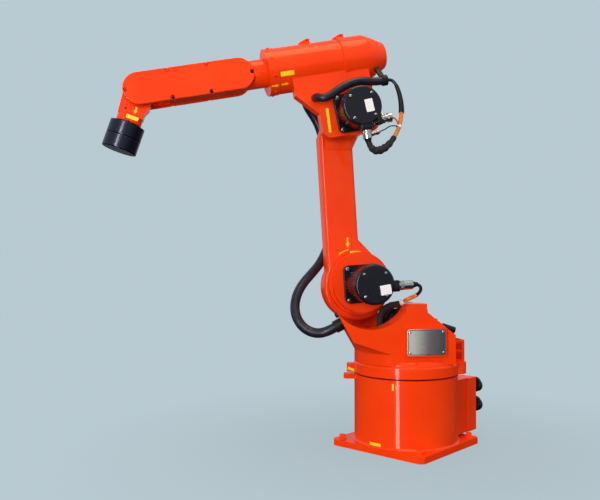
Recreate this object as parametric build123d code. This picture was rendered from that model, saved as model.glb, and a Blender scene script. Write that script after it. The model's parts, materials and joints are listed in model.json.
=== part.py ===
from build123d import *
import os
from math import asin, atan2, cos, degrees, pi, radians, sin, sqrt, tan

# Six-axis industrial robot arm, in millimetres.
# The origin is on the swivel axis at the underside of the foot plate: +X is the front of the base,
# opposite the connector box, +Y its left and +Z up. The arm stands in the pose of the photograph.

# Rest pose, in degrees
SWIVEL_REST = -36.0  # the arm's heading, measured from the front of the base
ARM_LEAN = 3.6  # the lower arm, forward of upright
FOREARM_DROP = 11.5  # the forearm, below level
WRIST_BEND = 60.0  # the tool axis, below the forearm

# Distances between the axes
SHOULDER_REACH = 156.0  # swivel axis to shoulder axis
SHOULDER_RISE = 248.0  # column flange to shoulder axis
ARM_LENGTH = 535.0  # shoulder axis to elbow axis
ELBOW_RISE = 174.0  # elbow axis to roll axis
FOREARM_LENGTH = 630.0  # foot of the elbow axis to wrist axis
TOOL_REACH = 106.0  # wrist axis to tool discs

# Clearances
SEAT_GAP = 0.3  # between two bodies at a bearing face
SWIVEL_GAP = 5.0  # under the rim of the column
SHOULDER_GAP = 10.0  # between the lower arm and its upright
ELBOW_GAP = 7.0  # between the lower arm and the elbow block
FORK_GAP = 5.0  # between the wrist and each fork cheek
FLANGE_GAP = 5.0  # between the wrist and the tool discs

# Base
DRUM_RADIUS = 165.0
DRUM_TOP = 228.0
PLATE_MARGIN = 5.0
PLATE_THICKNESS = 20.0
PLATE_CORNER = 12.0
FOOT_EDGE = 25.0  # foot hole to plate edge
FOOT_HOLE_RADIUS = 9.0
DRUM_FILLET = 5.0
SWIVEL_REDUCER_RADIUS = 120.0

# Connector box at the back of the base
BOX_DEPTH = 60.0
BOX_WIDTH = 260.0
BOX_HEIGHT = 176.0
BOX_LIFT = 8.0
BOX_STANDOFF = 7.0
BOX_CORNER = 12.0
BOX_INSET = 5.0
CONNECTOR_RADIUS = 21.0
CONNECTOR_LENGTH = 58.0
CONNECTOR_EDGE = 32.0
CONNECTOR_PITCH = 65.0

# Zero-mark lugs
BASE_LUG_ANGLE = -47.0
COLUMN_LUG_ANGLE = -11.0
LUG_REACH = 35.0
COLUMN_LUG_REACH = 25.0
BASE_LUG_WIDTH = 34.0
BASE_LUG_HEIGHT = 16.0
COLUMN_LUG_WIDTH = 26.0
LUG_HOLE_RADIUS = 4.0

# Column
FLANGE_MARGIN = 2.0
FLANGE_THICKNESS = 36.7
FLANGE_FILLET = 9.0
PLATFORM_REAR = 178.0
PLATFORM_WIDTH = 190.0
PLATFORM_CORNER = 35.0
CHEEK_OUTER = 135.0
CHEEK_INNER = 75.0
COLUMN_REAR = 113.0
REAR_HEIGHT = 91.0
STEP_X = -20.0
STEP_HEIGHT = 163.0
CREST_HEIGHT = 188.0
CREST_LENGTH = 70.0
SADDLE_RADIUS = 136.0
SADDLE_FLOOR = 102.0
CHIN_HEIGHT = 170.0  # top of the sloping front
CHIN_FLARE_HEIGHT = 75.0  # where the slope has grown out of the round front
CHIN_FOOT_HEIGHT = 35.0
CHIN_REACH = 236.0  # front of the slope at its top, on the far side
CHIN_FLARE_REACH = 182.0
CHIN_TURN = 31.0  # how much further forward its near end is
CHIN_FAR = 45.0
WELL_FRONT = 22.0
UPRIGHT_THICKNESS = 38.0
UPRIGHT_RADIUS = 90.0
UPRIGHT_FOOT = 100.0
UPRIGHT_REAR_HEIGHT = 125.0
SHOULDER_REDUCER_RADIUS = 78.0

# Rating plate and its pad
RATING_LENGTH = 124.0
RATING_HEIGHT = 80.0
RATING_THICKNESS = 2.0
RATING_X = -14.0
RATING_Z = 72.0
RATING_PAD = 10.0
RATING_CORNER = 8.0
RATING_PAD_MARGIN = 4.0

# Swivel motor on the deck of the well and the guard behind it
DECK_REAR = 58.0
SWIVEL_MOTOR_X = 16.0
SWIVEL_MOTOR_SIDE = 116.0
SWIVEL_MOTOR_CORNER = 15.0
SWIVEL_MOTOR_RADIUS = 56.0
SWIVEL_FLANGE = 12.0
SWIVEL_BARREL_HEIGHT = 48.0
SWIVEL_CAP_RADIUS = 38.0
SWIVEL_MOTOR_HEIGHT = 84.0
ENCODER_PLUG_LENGTH = 72.0
ENCODER_PLUG_RADIUS = 10.0
ENCODER_PLUG_HEIGHT = 18.0  # above the deck
ENCODER_PLUG_Y = -14.0
POWER_PLUG_LENGTH = 124.0
POWER_PLUG_RADIUS = 9.0
POWER_PLUG_NUT_RADIUS = 11.5
POWER_PLUG_NUT_LENGTH = 42.0
POWER_PLUG_HEIGHT = 30.0
POWER_PLUG_Y = 22.0
POWER_PLUG_DIP = 18.0  # degrees below level
GUARD_REAR = 174.0
GUARD_WIDTH = 156.0
GUARD_HEIGHT = 68.0
GUARD_THICKNESS = 6.0
GUARD_CORNER = 18.0
GUARD_WINDOW_LENGTH = 30.0
GUARD_BAR = 8.0

# Lower arm, in its own frame with the shoulder axis at the origin
ARM_THICKNESS = 62.0
ARM_FAR_FACE = -74.0
HUB_RADIUS = 110.0
HUB_X = 2.0
HUB_Z = -10.0
BEAM_FRONT = 97.0
BEAM_REAR = -12.0
BEAM_SLOPE_FOOT = 55.0
BEAM_SLOPE_TOP = 140.0
BEAM_CORNER_DROP = 62.0
ARM_TOP_RADIUS = 68.0
ARM_FILLET = 12.0
BOSS_RADIUS = 100.0
BOSS_LENGTH = 25.0
BOSS_STEP_RADIUS = 92.0
BOSS_STEP_LENGTH = 20.0
POCKET_LENGTH = 80.0
POCKET_HEIGHT = 52.0
POCKET_DROP = 102.0  # elbow axis to the foot of the pocket
POCKET_EDGE = 12.0
POCKET_CORNER = 10.0
POCKET_DEPTH = 4.0

# Motors at the shoulder and the elbow
MOTOR_SIDE = 120.0
MOTOR_CORNER = 18.0
MOTOR_FLANGE = 14.0
MOTOR_RADIUS = 56.0
SHOULDER_MOTOR_LENGTH = 95.0
ELBOW_MOTOR_LENGTH = 56.0
MOTOR_CAP_RADIUS = 61.0
MOTOR_CAP_LENGTH = 30.0
MOTOR_CAP_FILLET = 8.0
MOTOR_FINS = 36
MOTOR_FIN_HEIGHT = 3.0
MOTOR_FIN_THICKNESS = 3.2
MOTOR_RING_LENGTH = 16.0
PLUG_RADIUS = 11.0
PLUG_NUT_RADIUS = 14.0
SHOULDER_PLUG_LENGTH = 58.0
SHOULDER_PLUG_DROP = 8.0  # below the axis
ELBOW_PLUG_LENGTH = 38.0
REAR_PLUG_LENGTH = 24.0
REAR_PLUG_DROP = 47.0  # the rear plug of the elbow motor, below its axis
ELBOW_REDUCER_RADIUS = 60.0

# Elbow, in its own frame with the elbow axis at the origin
TUBE_RADIUS = 71.0
TUBE_FRONT = 240.0
TUBE_REAR = -112.0
COLLAR_LENGTH = 30.0
COLLAR_RISE = 1.5
STEP_RING_LENGTH = 14.0
STEP_RING_RISE = 5.0
SLEEVE_RISE = 3.0
SLEEVE_END_RADIUS = 61.0
SLEEVE_SHOULDER = 30.0  # length of the taper before the rear seam
COVER_END_RADIUS = 40.0
COVER_END_LENGTH = 40.0
COVER_ROUND = 9.0
NOTCH_WIDTH = 46.0
NOTCH_DEPTH = 14.0
ELBOW_HUB_RADIUS = 72.0
ELBOW_HUB_WIDTH = 63.0
WEB_THICKNESS = 36.0
BLOCK_FRONT = 108.0
BLOCK_REAR = -76.0
BLOCK_BOTTOM = -66.0
BLOCK_CORNER = 26.0
GUSSET_FOOT = 11.0
GUSSET_FRONT = 172.0
GUSSET_DROP = 25.0
ROLL_BORE_DEPTH = 25.0
LIFT_LUG_FRONT = 100.0
LIFT_LUG_PITCH = 112.0
LIFT_LUG_LENGTH = 36.0
LIFT_LUG_WIDTH = 24.0
LIFT_LUG_HEIGHT = 14.0
LIFT_LUG_HOLE = 3.0

# Forearm
NECK_RADIUS = 44.0
NECK_SEAT = 20.0
BODY_HALF_WIDTH = 42.0
COVER_RADIUS = 48.0
NECK_SHOW = 42.0  # bare neck between the tube and the covers
COVER_SCREW_PITCH = 117.0
COVER_SCREW_INSET = 6.0
COVER_NOTCH_RADIUS = 7.5
COVER_NOTCH_DEPTH = 7.0
COVER_ROUND_EDGE = 3.0
COVER_THICKNESS = 9.0
FORK_CHEEK = 15.0
FORK_DEPTH = 85.0

# Wrist and tool
WRIST_RADIUS = 44.0
WRIST_NECK_RADIUS = 38.0
WRIST_NECK_START = 80.0
WRIST_STEP = 46.0  # shoulder on the side that faces the forearm
WRIST_STEP_START = 45.0
WRIST_STEP_END = 62.0
PIVOT_RADIUS = 30.0
TOOL_FLANGE_RADIUS = 32.0
TOOL_RADIUS = 52.0
TOOL_LENGTH = 41.0
TOOL_GROOVE = 2.0

# Corrugated conduit from the column to the elbow
CONDUIT_RADIUS = 15.0
CONDUIT_STANDOFF = 4.0  # from the far face of the lower arm
CONDUIT_X = 66.0
GLAND_RADIUS = 21.0
GLAND_LENGTH = 26.0
GLAND_HEIGHT = 130.0
GLAND_Y = 97.0
PLUG_CAP_RADIUS = 8.0
PLUG_CAP_LENGTH = 9.0
PLUG_CAP_HEIGHT = 158.0
PLUG_CAP_Y = 118.0
CLAMP_RADIUS = 19.0
CLAMP_LENGTH = 24.0
CLAMP_LOW = 172.0
CLAMP_HIGH = 395.0
ELBOW_GLAND_X = 112.0
ELBOW_GLAND_Y = -44.0
ELBOW_GLAND_LENGTH = 18.0

# Hose over the elbow motor, and the lead that goes on to the motor's plug
HOSE_RADIUS = 12.5
HOSE_Y = 92.0
HOSE_Z = 76.0
HOSE_CLAMP_RADIUS = 16.5
HOSE_CLAMP_LENGTH = 16.0
HOSE_CLAMP_REAR = -114.0
HOSE_STRAP = 8.0
LEAD_RADIUS = 5.0

# Levels and places that follow from the sizes above
COLUMN_BOTTOM = DRUM_TOP + SWIVEL_GAP + SEAT_GAP
FLANGE_TOP = COLUMN_BOTTOM + FLANGE_THICKNESS
ARM_NEAR_FACE = ARM_FAR_FACE + ARM_THICKNESS
UPRIGHT_INNER = ARM_FAR_FACE - SHOULDER_GAP
UPRIGHT_OUTER = UPRIGHT_INNER - UPRIGHT_THICKNESS
BOSS_FACE = ARM_NEAR_FACE + BOSS_LENGTH + BOSS_STEP_LENGTH
BLOCK_FAR_FACE = ARM_NEAR_FACE + ELBOW_GAP
BLOCK_NEAR_FACE = BLOCK_FAR_FACE + ELBOW_HUB_WIDTH
FORK_INNER = BODY_HALF_WIDTH - FORK_CHEEK
WRIST_HALF_WIDTH = FORK_INNER - FORK_GAP

# Frames of the six bodies, each carried by the one before
ARM_FRAME = Rot(0, 0, SWIVEL_REST)
COLUMN_FRAME = ARM_FRAME * Pos(0, 0, FLANGE_TOP)
LOWER_FRAME = COLUMN_FRAME * Pos(SHOULDER_REACH, 0, SHOULDER_RISE) * Rot(0, ARM_LEAN, 0)
ELBOW_FRAME = LOWER_FRAME * Pos(0, 0, ARM_LENGTH) * Rot(0, FOREARM_DROP - ARM_LEAN, 0)
FOREARM_FRAME = ELBOW_FRAME * Pos(0, 0, ELBOW_RISE)
WRIST_FRAME = FOREARM_FRAME * Pos(FOREARM_LENGTH, 0, 0) * Rot(0, WRIST_BEND, 0)


def slab(profile, y_low, y_high):
    """A profile drawn in x and z, made solid between two planes across y."""
    return Pos(0, y_high, 0) * extrude(Plane.XZ * profile, y_high - y_low, dir=(0, -1, 0))


def disc_across(radius, y_low, y_high, x=0.0, z=0.0):
    return slab(Pos(x, z) * Circle(radius), y_low, y_high)


def rod_along(radius, x_low, x_high, y=0.0, z=0.0):
    return Pos(x_low, y, z) * extrude(Plane.YZ * Circle(radius), x_high - x_low)


def block(x_low, x_high, y_low, y_high, z_low, z_high):
    corner = Pos((x_low + x_high) / 2, (y_low + y_high) / 2, (z_low + z_high) / 2)
    return corner * Box(x_high - x_low, y_high - y_low, z_high - z_low)


def outline(*points):
    return Polygon(*points, align=None)


def tangent_point(start, centre, radius):
    """Where the line from start touches the right side of a circle."""
    run = centre[0] - start[0]
    rise = centre[1] - start[1]
    away = sqrt(run * run + rise * rise)
    heading = atan2(rise, run) - asin(radius / away)
    length = sqrt(away * away - radius * radius)
    return (start[0] + length * cos(heading), start[1] + length * sin(heading))


# Base


def base_casting():
    width = 2 * (DRUM_RADIUS + PLATE_MARGIN)
    pitch = width - 2 * FOOT_EDGE
    plate_outline = Rectangle(width, width)
    plate_outline = chamfer(plate_outline.vertices(), PLATE_CORNER)
    plate_outline -= GridLocations(pitch, pitch, 2, 2) * Circle(FOOT_HOLE_RADIUS)
    plate = extrude(plate_outline, PLATE_THICKNESS)
    drum = extrude(Circle(DRUM_RADIUS), DRUM_TOP)
    foot = Pos(0, 0, PLATE_THICKNESS) * Cone(
        DRUM_RADIUS + DRUM_FILLET, DRUM_RADIUS, DRUM_FILLET, align=(Align.CENTER, Align.CENTER, Align.MIN)
    )
    half = BOX_WIDTH / 2 - BOX_INSET
    low = PLATE_THICKNESS + BOX_LIFT
    pad = block(-DRUM_RADIUS - BOX_STANDOFF, 0, -half, half, low, low + BOX_HEIGHT)
    reach = DRUM_RADIUS + LUG_REACH
    lug_half = BASE_LUG_WIDTH / 2
    lug = block(0, reach, -lug_half, lug_half, DRUM_TOP - BASE_LUG_HEIGHT, DRUM_TOP)
    lug_end = lug.faces().sort_by(Axis.X)[-1]
    lug = chamfer(lug_end.edges().filter_by(Axis.Z), BASE_LUG_WIDTH / 5)
    lug -= rod_along(LUG_HOLE_RADIUS, DRUM_RADIUS, reach, 0, DRUM_TOP - BASE_LUG_HEIGHT / 2)
    return plate + drum + foot + pad + Rot(0, 0, BASE_LUG_ANGLE) * lug


def box_rear():
    return -DRUM_RADIUS - BOX_STANDOFF - BOX_DEPTH


def connector_box():
    front = -DRUM_RADIUS - BOX_STANDOFF
    low = PLATE_THICKNESS + BOX_LIFT
    shape = block(front - BOX_DEPTH, front, -BOX_WIDTH / 2, BOX_WIDTH / 2, low, low + BOX_HEIGHT)
    return fillet(shape.faces().sort_by(Axis.X)[0].edges(), BOX_CORNER)


def base_connector(level):
    """A round multi-pole connector: square flange, threaded shell and cap."""
    y = BOX_WIDTH / 2 - CONNECTOR_EDGE
    z = PLATE_THICKNESS + BOX_LIFT + BOX_HEIGHT - level
    rear = box_rear()
    flange = Pos(rear, y, z) * extrude(
        Plane.YZ * RectangleRounded(2 * CONNECTOR_RADIUS + 4, 2 * CONNECTOR_RADIUS + 4, 5), -5
    )
    shell = rod_along(CONNECTOR_RADIUS - 4, rear - CONNECTOR_LENGTH, rear, y, z)
    cap = rod_along(CONNECTOR_RADIUS, rear - CONNECTOR_LENGTH, rear - CONNECTOR_LENGTH / 2, y, z)
    return flange + shell + cap


def swivel_reducer():
    return Pos(0, 0, DRUM_TOP) * extrude(Circle(SWIVEL_REDUCER_RADIUS), SWIVEL_GAP)


# Column, drawn from the top of its flange


def cheek_profile():
    """Near side of the column: a rear slope, a step and the crest behind the shoulder."""
    return outline(
        (-COLUMN_REAR, 0),
        (-COLUMN_REAR, REAR_HEIGHT),
        (STEP_X, STEP_HEIGHT),
        (STEP_X, CREST_HEIGHT),
        (STEP_X + CREST_LENGTH, CREST_HEIGHT),
        (flat_front(), CHIN_FOOT_HEIGHT),
        (flat_front(), 0),
    )


def flat_front(y=None):
    """How far forward the round front of the column reaches at a distance from its middle."""
    y = CHEEK_OUTER if y is None else y
    return sqrt(DRUM_RADIUS**2 - y**2)


def chin_x(y, height):
    """The flat slope of the chin, which faces a little to the far side."""
    share = (height - CHIN_FLARE_HEIGHT) / (CHIN_HEIGHT - CHIN_FLARE_HEIGHT)
    far = CHIN_FLARE_REACH + share * (CHIN_REACH - CHIN_FLARE_REACH)
    return far + CHIN_TURN * (y + CHIN_FAR) / (CHEEK_OUTER + CHIN_FAR)


def chin_section(front, height):
    """A level section of the chin, closed by its front edge."""
    near = (-WELL_FRONT, CHEEK_OUTER)
    far = (-WELL_FRONT, -CHIN_FAR)
    sides = [Line(front @ 1, far), Line(far, near), Line(near, front @ 0)]
    return Pos(0, 0, height) * make_face([front, *sides])


def chin():
    """The front under the shoulder: a round foot that flares into a flat, overhanging slope."""
    round_front = ThreePointArc(
        (flat_front(), CHEEK_OUTER), (DRUM_RADIUS, 0), (flat_front(CHIN_FAR), -CHIN_FAR)
    )
    foot = chin_section(round_front, CHIN_FOOT_HEIGHT)
    slopes = []
    for height in (CHIN_FLARE_HEIGHT, CHIN_HEIGHT):
        edge = Line((chin_x(CHEEK_OUTER, height), CHEEK_OUTER), (chin_x(-CHIN_FAR, height), -CHIN_FAR))
        slopes.append(chin_section(edge, height))
    flare = loft([foot, *slopes], ruled=True)
    return flare + extrude(foot, -CHIN_FOOT_HEIGHT)


def upright_profile():
    centre = (SHOULDER_REACH, SHOULDER_RISE)
    touch = tangent_point((UPRIGHT_FOOT, 0), centre, UPRIGHT_RADIUS)
    rear = SHOULDER_REACH - UPRIGHT_RADIUS
    leg = outline(
        (-UPRIGHT_FOOT, 0),
        (UPRIGHT_FOOT, 0),
        touch,
        centre,
        (rear, SHOULDER_RISE),
        (rear, UPRIGHT_REAR_HEIGHT),
        (-UPRIGHT_FOOT, REAR_HEIGHT),
    )
    return leg + Pos(*centre) * Circle(UPRIGHT_RADIUS)


def column_casting():
    flange = Pos(0, 0, -FLANGE_THICKNESS) * extrude(Circle(DRUM_RADIUS + FLANGE_MARGIN), FLANGE_THICKNESS)
    flange = fillet(flange.edges().group_by(Axis.Z)[-1], FLANGE_FILLET)
    platform = block(
        -PLATFORM_REAR, 0, -PLATFORM_WIDTH / 2, PLATFORM_WIDTH / 2, -FLANGE_THICKNESS, 0
    )
    platform_rear = platform.faces().sort_by(Axis.X)[0]
    platform = fillet(platform_rear.edges().filter_by(Axis.Z), PLATFORM_CORNER)
    front = extrude(Circle(DRUM_RADIUS), SADDLE_FLOOR)
    front &= block(-WELL_FRONT, flat_front(CHIN_FAR), UPRIGHT_OUTER, -CHIN_FAR, 0, SADDLE_FLOOR)
    deck = block(-DECK_REAR, WELL_FRONT, -CHEEK_INNER, CHEEK_INNER, 0, SADDLE_FLOOR)
    near = slab(cheek_profile(), CHEEK_INNER, CHEEK_OUTER)
    far_profile = outline(
        (-COLUMN_REAR, 0),
        (-COLUMN_REAR, REAR_HEIGHT),
        (STEP_X, UPRIGHT_REAR_HEIGHT),
        (SHOULDER_REACH - UPRIGHT_RADIUS, UPRIGHT_REAR_HEIGHT),
        (flat_front(), SADDLE_FLOOR),
        (flat_front(), 0),
    )
    far = slab(far_profile, -CHEEK_OUTER, -CHEEK_INNER)
    saddle = disc_across(SADDLE_RADIUS, UPRIGHT_INNER, CHEEK_OUTER, SHOULDER_REACH, SHOULDER_RISE)
    well = block(-WELL_FRONT, SHOULDER_REACH, UPRIGHT_INNER, CHEEK_INNER, SADDLE_FLOOR, SHOULDER_RISE)
    upright = slab(upright_profile(), UPRIGHT_OUTER, UPRIGHT_INNER)
    pad_outline = RectangleRounded(
        RATING_LENGTH + 2 * RATING_PAD_MARGIN, RATING_HEIGHT + 2 * RATING_PAD_MARGIN, RATING_CORNER
    )
    pad = slab(Pos(RATING_X, RATING_Z) * pad_outline, CHEEK_OUTER, CHEEK_OUTER + RATING_PAD)
    reach = DRUM_RADIUS + COLUMN_LUG_REACH
    lug = block(
        0, reach, -COLUMN_LUG_WIDTH / 2, COLUMN_LUG_WIDTH / 2, -FLANGE_THICKNESS, -FLANGE_FILLET
    )
    lug = fillet(lug.faces().sort_by(Axis.X)[-1].edges().filter_by(Axis.Z), COLUMN_LUG_WIDTH / 3)
    shell = near + far + front + deck + chin() - saddle - well
    return flange + platform + shell + upright + pad + Rot(0, 0, COLUMN_LUG_ANGLE) * lug


def rating_plate():
    plate = Pos(RATING_X, RATING_Z) * RectangleRounded(RATING_LENGTH, RATING_HEIGHT, RATING_CORNER)
    face = CHEEK_OUTER + RATING_PAD
    return slab(plate, face, face + RATING_THICKNESS)


def swivel_motor():
    """Stands on the deck, with a cap that narrows upwards to clear the swinging arm."""
    flange_outline = RectangleRounded(SWIVEL_MOTOR_SIDE, SWIVEL_MOTOR_SIDE, SWIVEL_MOTOR_CORNER)
    flange = extrude(flange_outline, SWIVEL_FLANGE)
    section = outline(
        (0, 0),
        (SWIVEL_MOTOR_RADIUS, 0),
        (SWIVEL_MOTOR_RADIUS, SWIVEL_BARREL_HEIGHT),
        (SWIVEL_CAP_RADIUS, SWIVEL_MOTOR_HEIGHT),
        (0, SWIVEL_MOTOR_HEIGHT),
    )
    barrel = revolve(Plane.XZ * section, Axis.Z)
    return Pos(SWIVEL_MOTOR_X, 0, SADDLE_FLOOR) * (flange + barrel)


def swivel_motor_connectors():
    """The short encoder plug and the long, dipping power plug at the back of the motor."""
    rear = SWIVEL_MOTOR_X - SWIVEL_MOTOR_RADIUS
    middle = SWIVEL_MOTOR_X - SWIVEL_CAP_RADIUS
    z = SADDLE_FLOOR + ENCODER_PLUG_HEIGHT
    encoder = rod_along(ENCODER_PLUG_RADIUS, rear - ENCODER_PLUG_LENGTH, middle, ENCODER_PLUG_Y, z)
    power = rod_along(POWER_PLUG_RADIUS, rear - POWER_PLUG_LENGTH, middle, 0, 0)
    end = rear - POWER_PLUG_LENGTH
    power += rod_along(POWER_PLUG_NUT_RADIUS, end, end + POWER_PLUG_NUT_LENGTH, 0, 0)
    root = Pos(rear, POWER_PLUG_Y, SADDLE_FLOOR + POWER_PLUG_HEIGHT) * Rot(0, -POWER_PLUG_DIP, 0)
    return encoder + root * Pos(-rear, 0, 0) * power - swivel_motor()


def rear_guard():
    """A bent guard behind the motor with two windows in each side."""
    length = GUARD_REAR - COLUMN_REAR
    ring = RectangleRounded(2 * length, GUARD_WIDTH, GUARD_CORNER)
    ring -= RectangleRounded(
        2 * (length - GUARD_THICKNESS), GUARD_WIDTH - 2 * GUARD_THICKNESS, GUARD_CORNER - GUARD_THICKNESS
    )
    wall = Pos(-COLUMN_REAR, 0, 0) * extrude(ring, GUARD_HEIGHT)
    wall &= block(-GUARD_REAR, -COLUMN_REAR, -GUARD_WIDTH / 2, GUARD_WIDTH / 2, 0, GUARD_HEIGHT)
    middle = -(GUARD_REAR + COLUMN_REAR) / 2
    window_height = (GUARD_HEIGHT - 3 * GUARD_BAR) / 2
    for row in range(2):
        low = GUARD_BAR + row * (window_height + GUARD_BAR)
        wall -= block(
            middle - GUARD_WINDOW_LENGTH / 2,
            middle + GUARD_WINDOW_LENGTH / 2,
            -GUARD_WIDTH,
            GUARD_WIDTH,
            low,
            low + window_height,
        )
    return wall


def shoulder_reducer():
    return disc_across(
        SHOULDER_REDUCER_RADIUS, UPRIGHT_INNER, ARM_FAR_FACE - SEAT_GAP, SHOULDER_REACH, SHOULDER_RISE
    )


def slope_frame(y, height):
    """A place on the slope of the chin, facing away from it."""
    run = CHIN_REACH - CHIN_FLARE_REACH
    rise = CHIN_HEIGHT - CHIN_FLARE_HEIGHT
    across = Vector(CHIN_TURN, CHEEK_OUTER + CHIN_FAR, 0)
    outward = across.cross(Vector(run, 0, rise))
    return Plane(origin=(chin_x(y, height), y, height), x_dir=across, z_dir=outward)


def conduit_gland():
    nut = extrude(RegularPolygon(GLAND_RADIUS, 6), GLAND_LENGTH / 2)
    sleeve = extrude(Circle(GLAND_RADIUS - 2), GLAND_LENGTH)
    return slope_frame(GLAND_Y, GLAND_HEIGHT) * (nut + sleeve)


def sealing_plug():
    cap = extrude(Circle(PLUG_CAP_RADIUS), PLUG_CAP_LENGTH)
    return slope_frame(PLUG_CAP_Y, PLUG_CAP_HEIGHT) * chamfer(cap.edges().group_by(Axis.Z)[-1], 2)


# Lower arm


def lower_arm_casting():
    corner = ARM_LENGTH - BEAM_CORNER_DROP
    beam = outline(
        (BEAM_FRONT, HUB_Z),
        (BEAM_FRONT, corner),
        (ARM_TOP_RADIUS * cos(radians(45)), ARM_LENGTH + ARM_TOP_RADIUS * sin(radians(45))),
        (-ARM_TOP_RADIUS, ARM_LENGTH),
        (BEAM_REAR, corner - 40),
        (BEAM_REAR, BEAM_SLOPE_TOP),
        (HUB_X - sqrt(HUB_RADIUS**2 - (BEAM_SLOPE_FOOT - HUB_Z) ** 2), BEAM_SLOPE_FOOT),
        (HUB_X, HUB_Z),
    )
    profile = beam + Pos(HUB_X, HUB_Z) * Circle(HUB_RADIUS) + Pos(0, ARM_LENGTH) * Circle(ARM_TOP_RADIUS)
    casting = slab(profile, ARM_FAR_FACE, ARM_NEAR_FACE)
    rims = casting.edges().filter_by(GeomType.LINE, reverse=True) + casting.edges().filter_by(GeomType.LINE)
    rims = rims.filter_by(Axis.Y, reverse=True)
    casting = fillet(rims, ARM_FILLET)
    boss = disc_across(BOSS_RADIUS, ARM_NEAR_FACE, ARM_NEAR_FACE + BOSS_LENGTH)
    step = disc_across(BOSS_STEP_RADIUS, ARM_NEAR_FACE, BOSS_FACE)
    pocket_outline = RectangleRounded(POCKET_LENGTH, POCKET_HEIGHT, POCKET_CORNER)
    pocket = slab(
        Pos(BEAM_FRONT - POCKET_EDGE - POCKET_LENGTH / 2, ARM_LENGTH - POCKET_DROP + POCKET_HEIGHT / 2)
        * pocket_outline,
        ARM_NEAR_FACE - POCKET_DEPTH,
        ARM_NEAR_FACE,
    )
    return casting + boss + step - pocket


def conduit_y():
    return ARM_FAR_FACE - CONDUIT_STANDOFF - CONDUIT_RADIUS


def conduit_clamp(z):
    """A saddle clamp that holds the conduit off the far face of the arm."""
    ring = Pos(CONDUIT_X, conduit_y(), z) * extrude(Circle(CLAMP_RADIUS), CLAMP_LENGTH)
    neck = block(
        CONDUIT_X - CLAMP_RADIUS, CONDUIT_X + CLAMP_RADIUS, conduit_y(), ARM_FAR_FACE, z, z + CLAMP_LENGTH
    )
    return ring + neck


def conduit_run():
    low = CLAMP_LOW + CLAMP_LENGTH
    return Pos(CONDUIT_X, conduit_y(), low) * extrude(Circle(CONDUIT_RADIUS), CLAMP_HIGH - low)


def motor_flange(face):
    """A rounded square plate on the side of a housing."""
    return slab(RectangleRounded(MOTOR_SIDE, MOTOR_SIDE, MOTOR_CORNER), face, face + MOTOR_FLANGE)


def motor_body(face, length):
    """A round barrel with cooling fins along it and a plain ring where the cap is screwed on."""
    low = face + MOTOR_FLANGE
    section = Circle(MOTOR_RADIUS)
    fin = Rectangle(2 * MOTOR_FIN_HEIGHT, MOTOR_FIN_THICKNESS)
    section += PolarLocations(MOTOR_RADIUS, MOTOR_FINS) * fin
    end = low + length
    ring = disc_across(MOTOR_RADIUS + MOTOR_FIN_HEIGHT, end - MOTOR_RING_LENGTH, end)
    return slab(section, low, end) + ring


def cap_face(face, length):
    return face + MOTOR_FLANGE + length


def motor_cap(face, length):
    low = cap_face(face, length)
    cap = disc_across(MOTOR_CAP_RADIUS, low, low + MOTOR_CAP_LENGTH)
    return fillet(cap.edges().group_by(Axis.Y)[-1], MOTOR_CAP_FILLET)


def motor_plug(length, y, z=0.0):
    """A plug that leaves the side of a motor's cap towards the rear."""
    root = sqrt(MOTOR_CAP_RADIUS**2 - (abs(z) + PLUG_RADIUS) ** 2)
    end = -MOTOR_CAP_RADIUS - length
    shell = rod_along(PLUG_RADIUS, end, -root, y, z)
    nut = rod_along(PLUG_NUT_RADIUS, end, end + length / 2, y, z)
    seat = disc_across(MOTOR_CAP_RADIUS, y - MOTOR_CAP_LENGTH, y + MOTOR_CAP_LENGTH)
    return shell + nut - seat


def plug_y(face, length):
    return cap_face(face, length) + MOTOR_CAP_LENGTH / 2


def shoulder_motor_connectors():
    return motor_plug(SHOULDER_PLUG_LENGTH, plug_y(BOSS_FACE, SHOULDER_MOTOR_LENGTH), -SHOULDER_PLUG_DROP)


def elbow_reducer():
    return disc_across(ELBOW_REDUCER_RADIUS, ARM_NEAR_FACE, BLOCK_FAR_FACE - SEAT_GAP, 0, ARM_LENGTH)


# Elbow


def turned(*profile):
    """A body turned about the roll axis from a profile of places and radii."""
    return Pos(0, 0, ELBOW_RISE) * revolve(Plane.XZ * outline(*profile), Axis.X)


def sleeve():
    """The stepped rear end of the tube, which narrows to the seam of the cover."""
    ring = TUBE_RADIUS + STEP_RING_RISE
    plain = TUBE_RADIUS + SLEEVE_RISE
    return turned(
        (0, 0),
        (0, ring),
        (-STEP_RING_LENGTH, ring),
        (-STEP_RING_LENGTH, plain),
        (TUBE_REAR + SLEEVE_SHOULDER, plain),
        (TUBE_REAR, SLEEVE_END_RADIUS),
        (TUBE_REAR, 0),
    )


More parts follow.
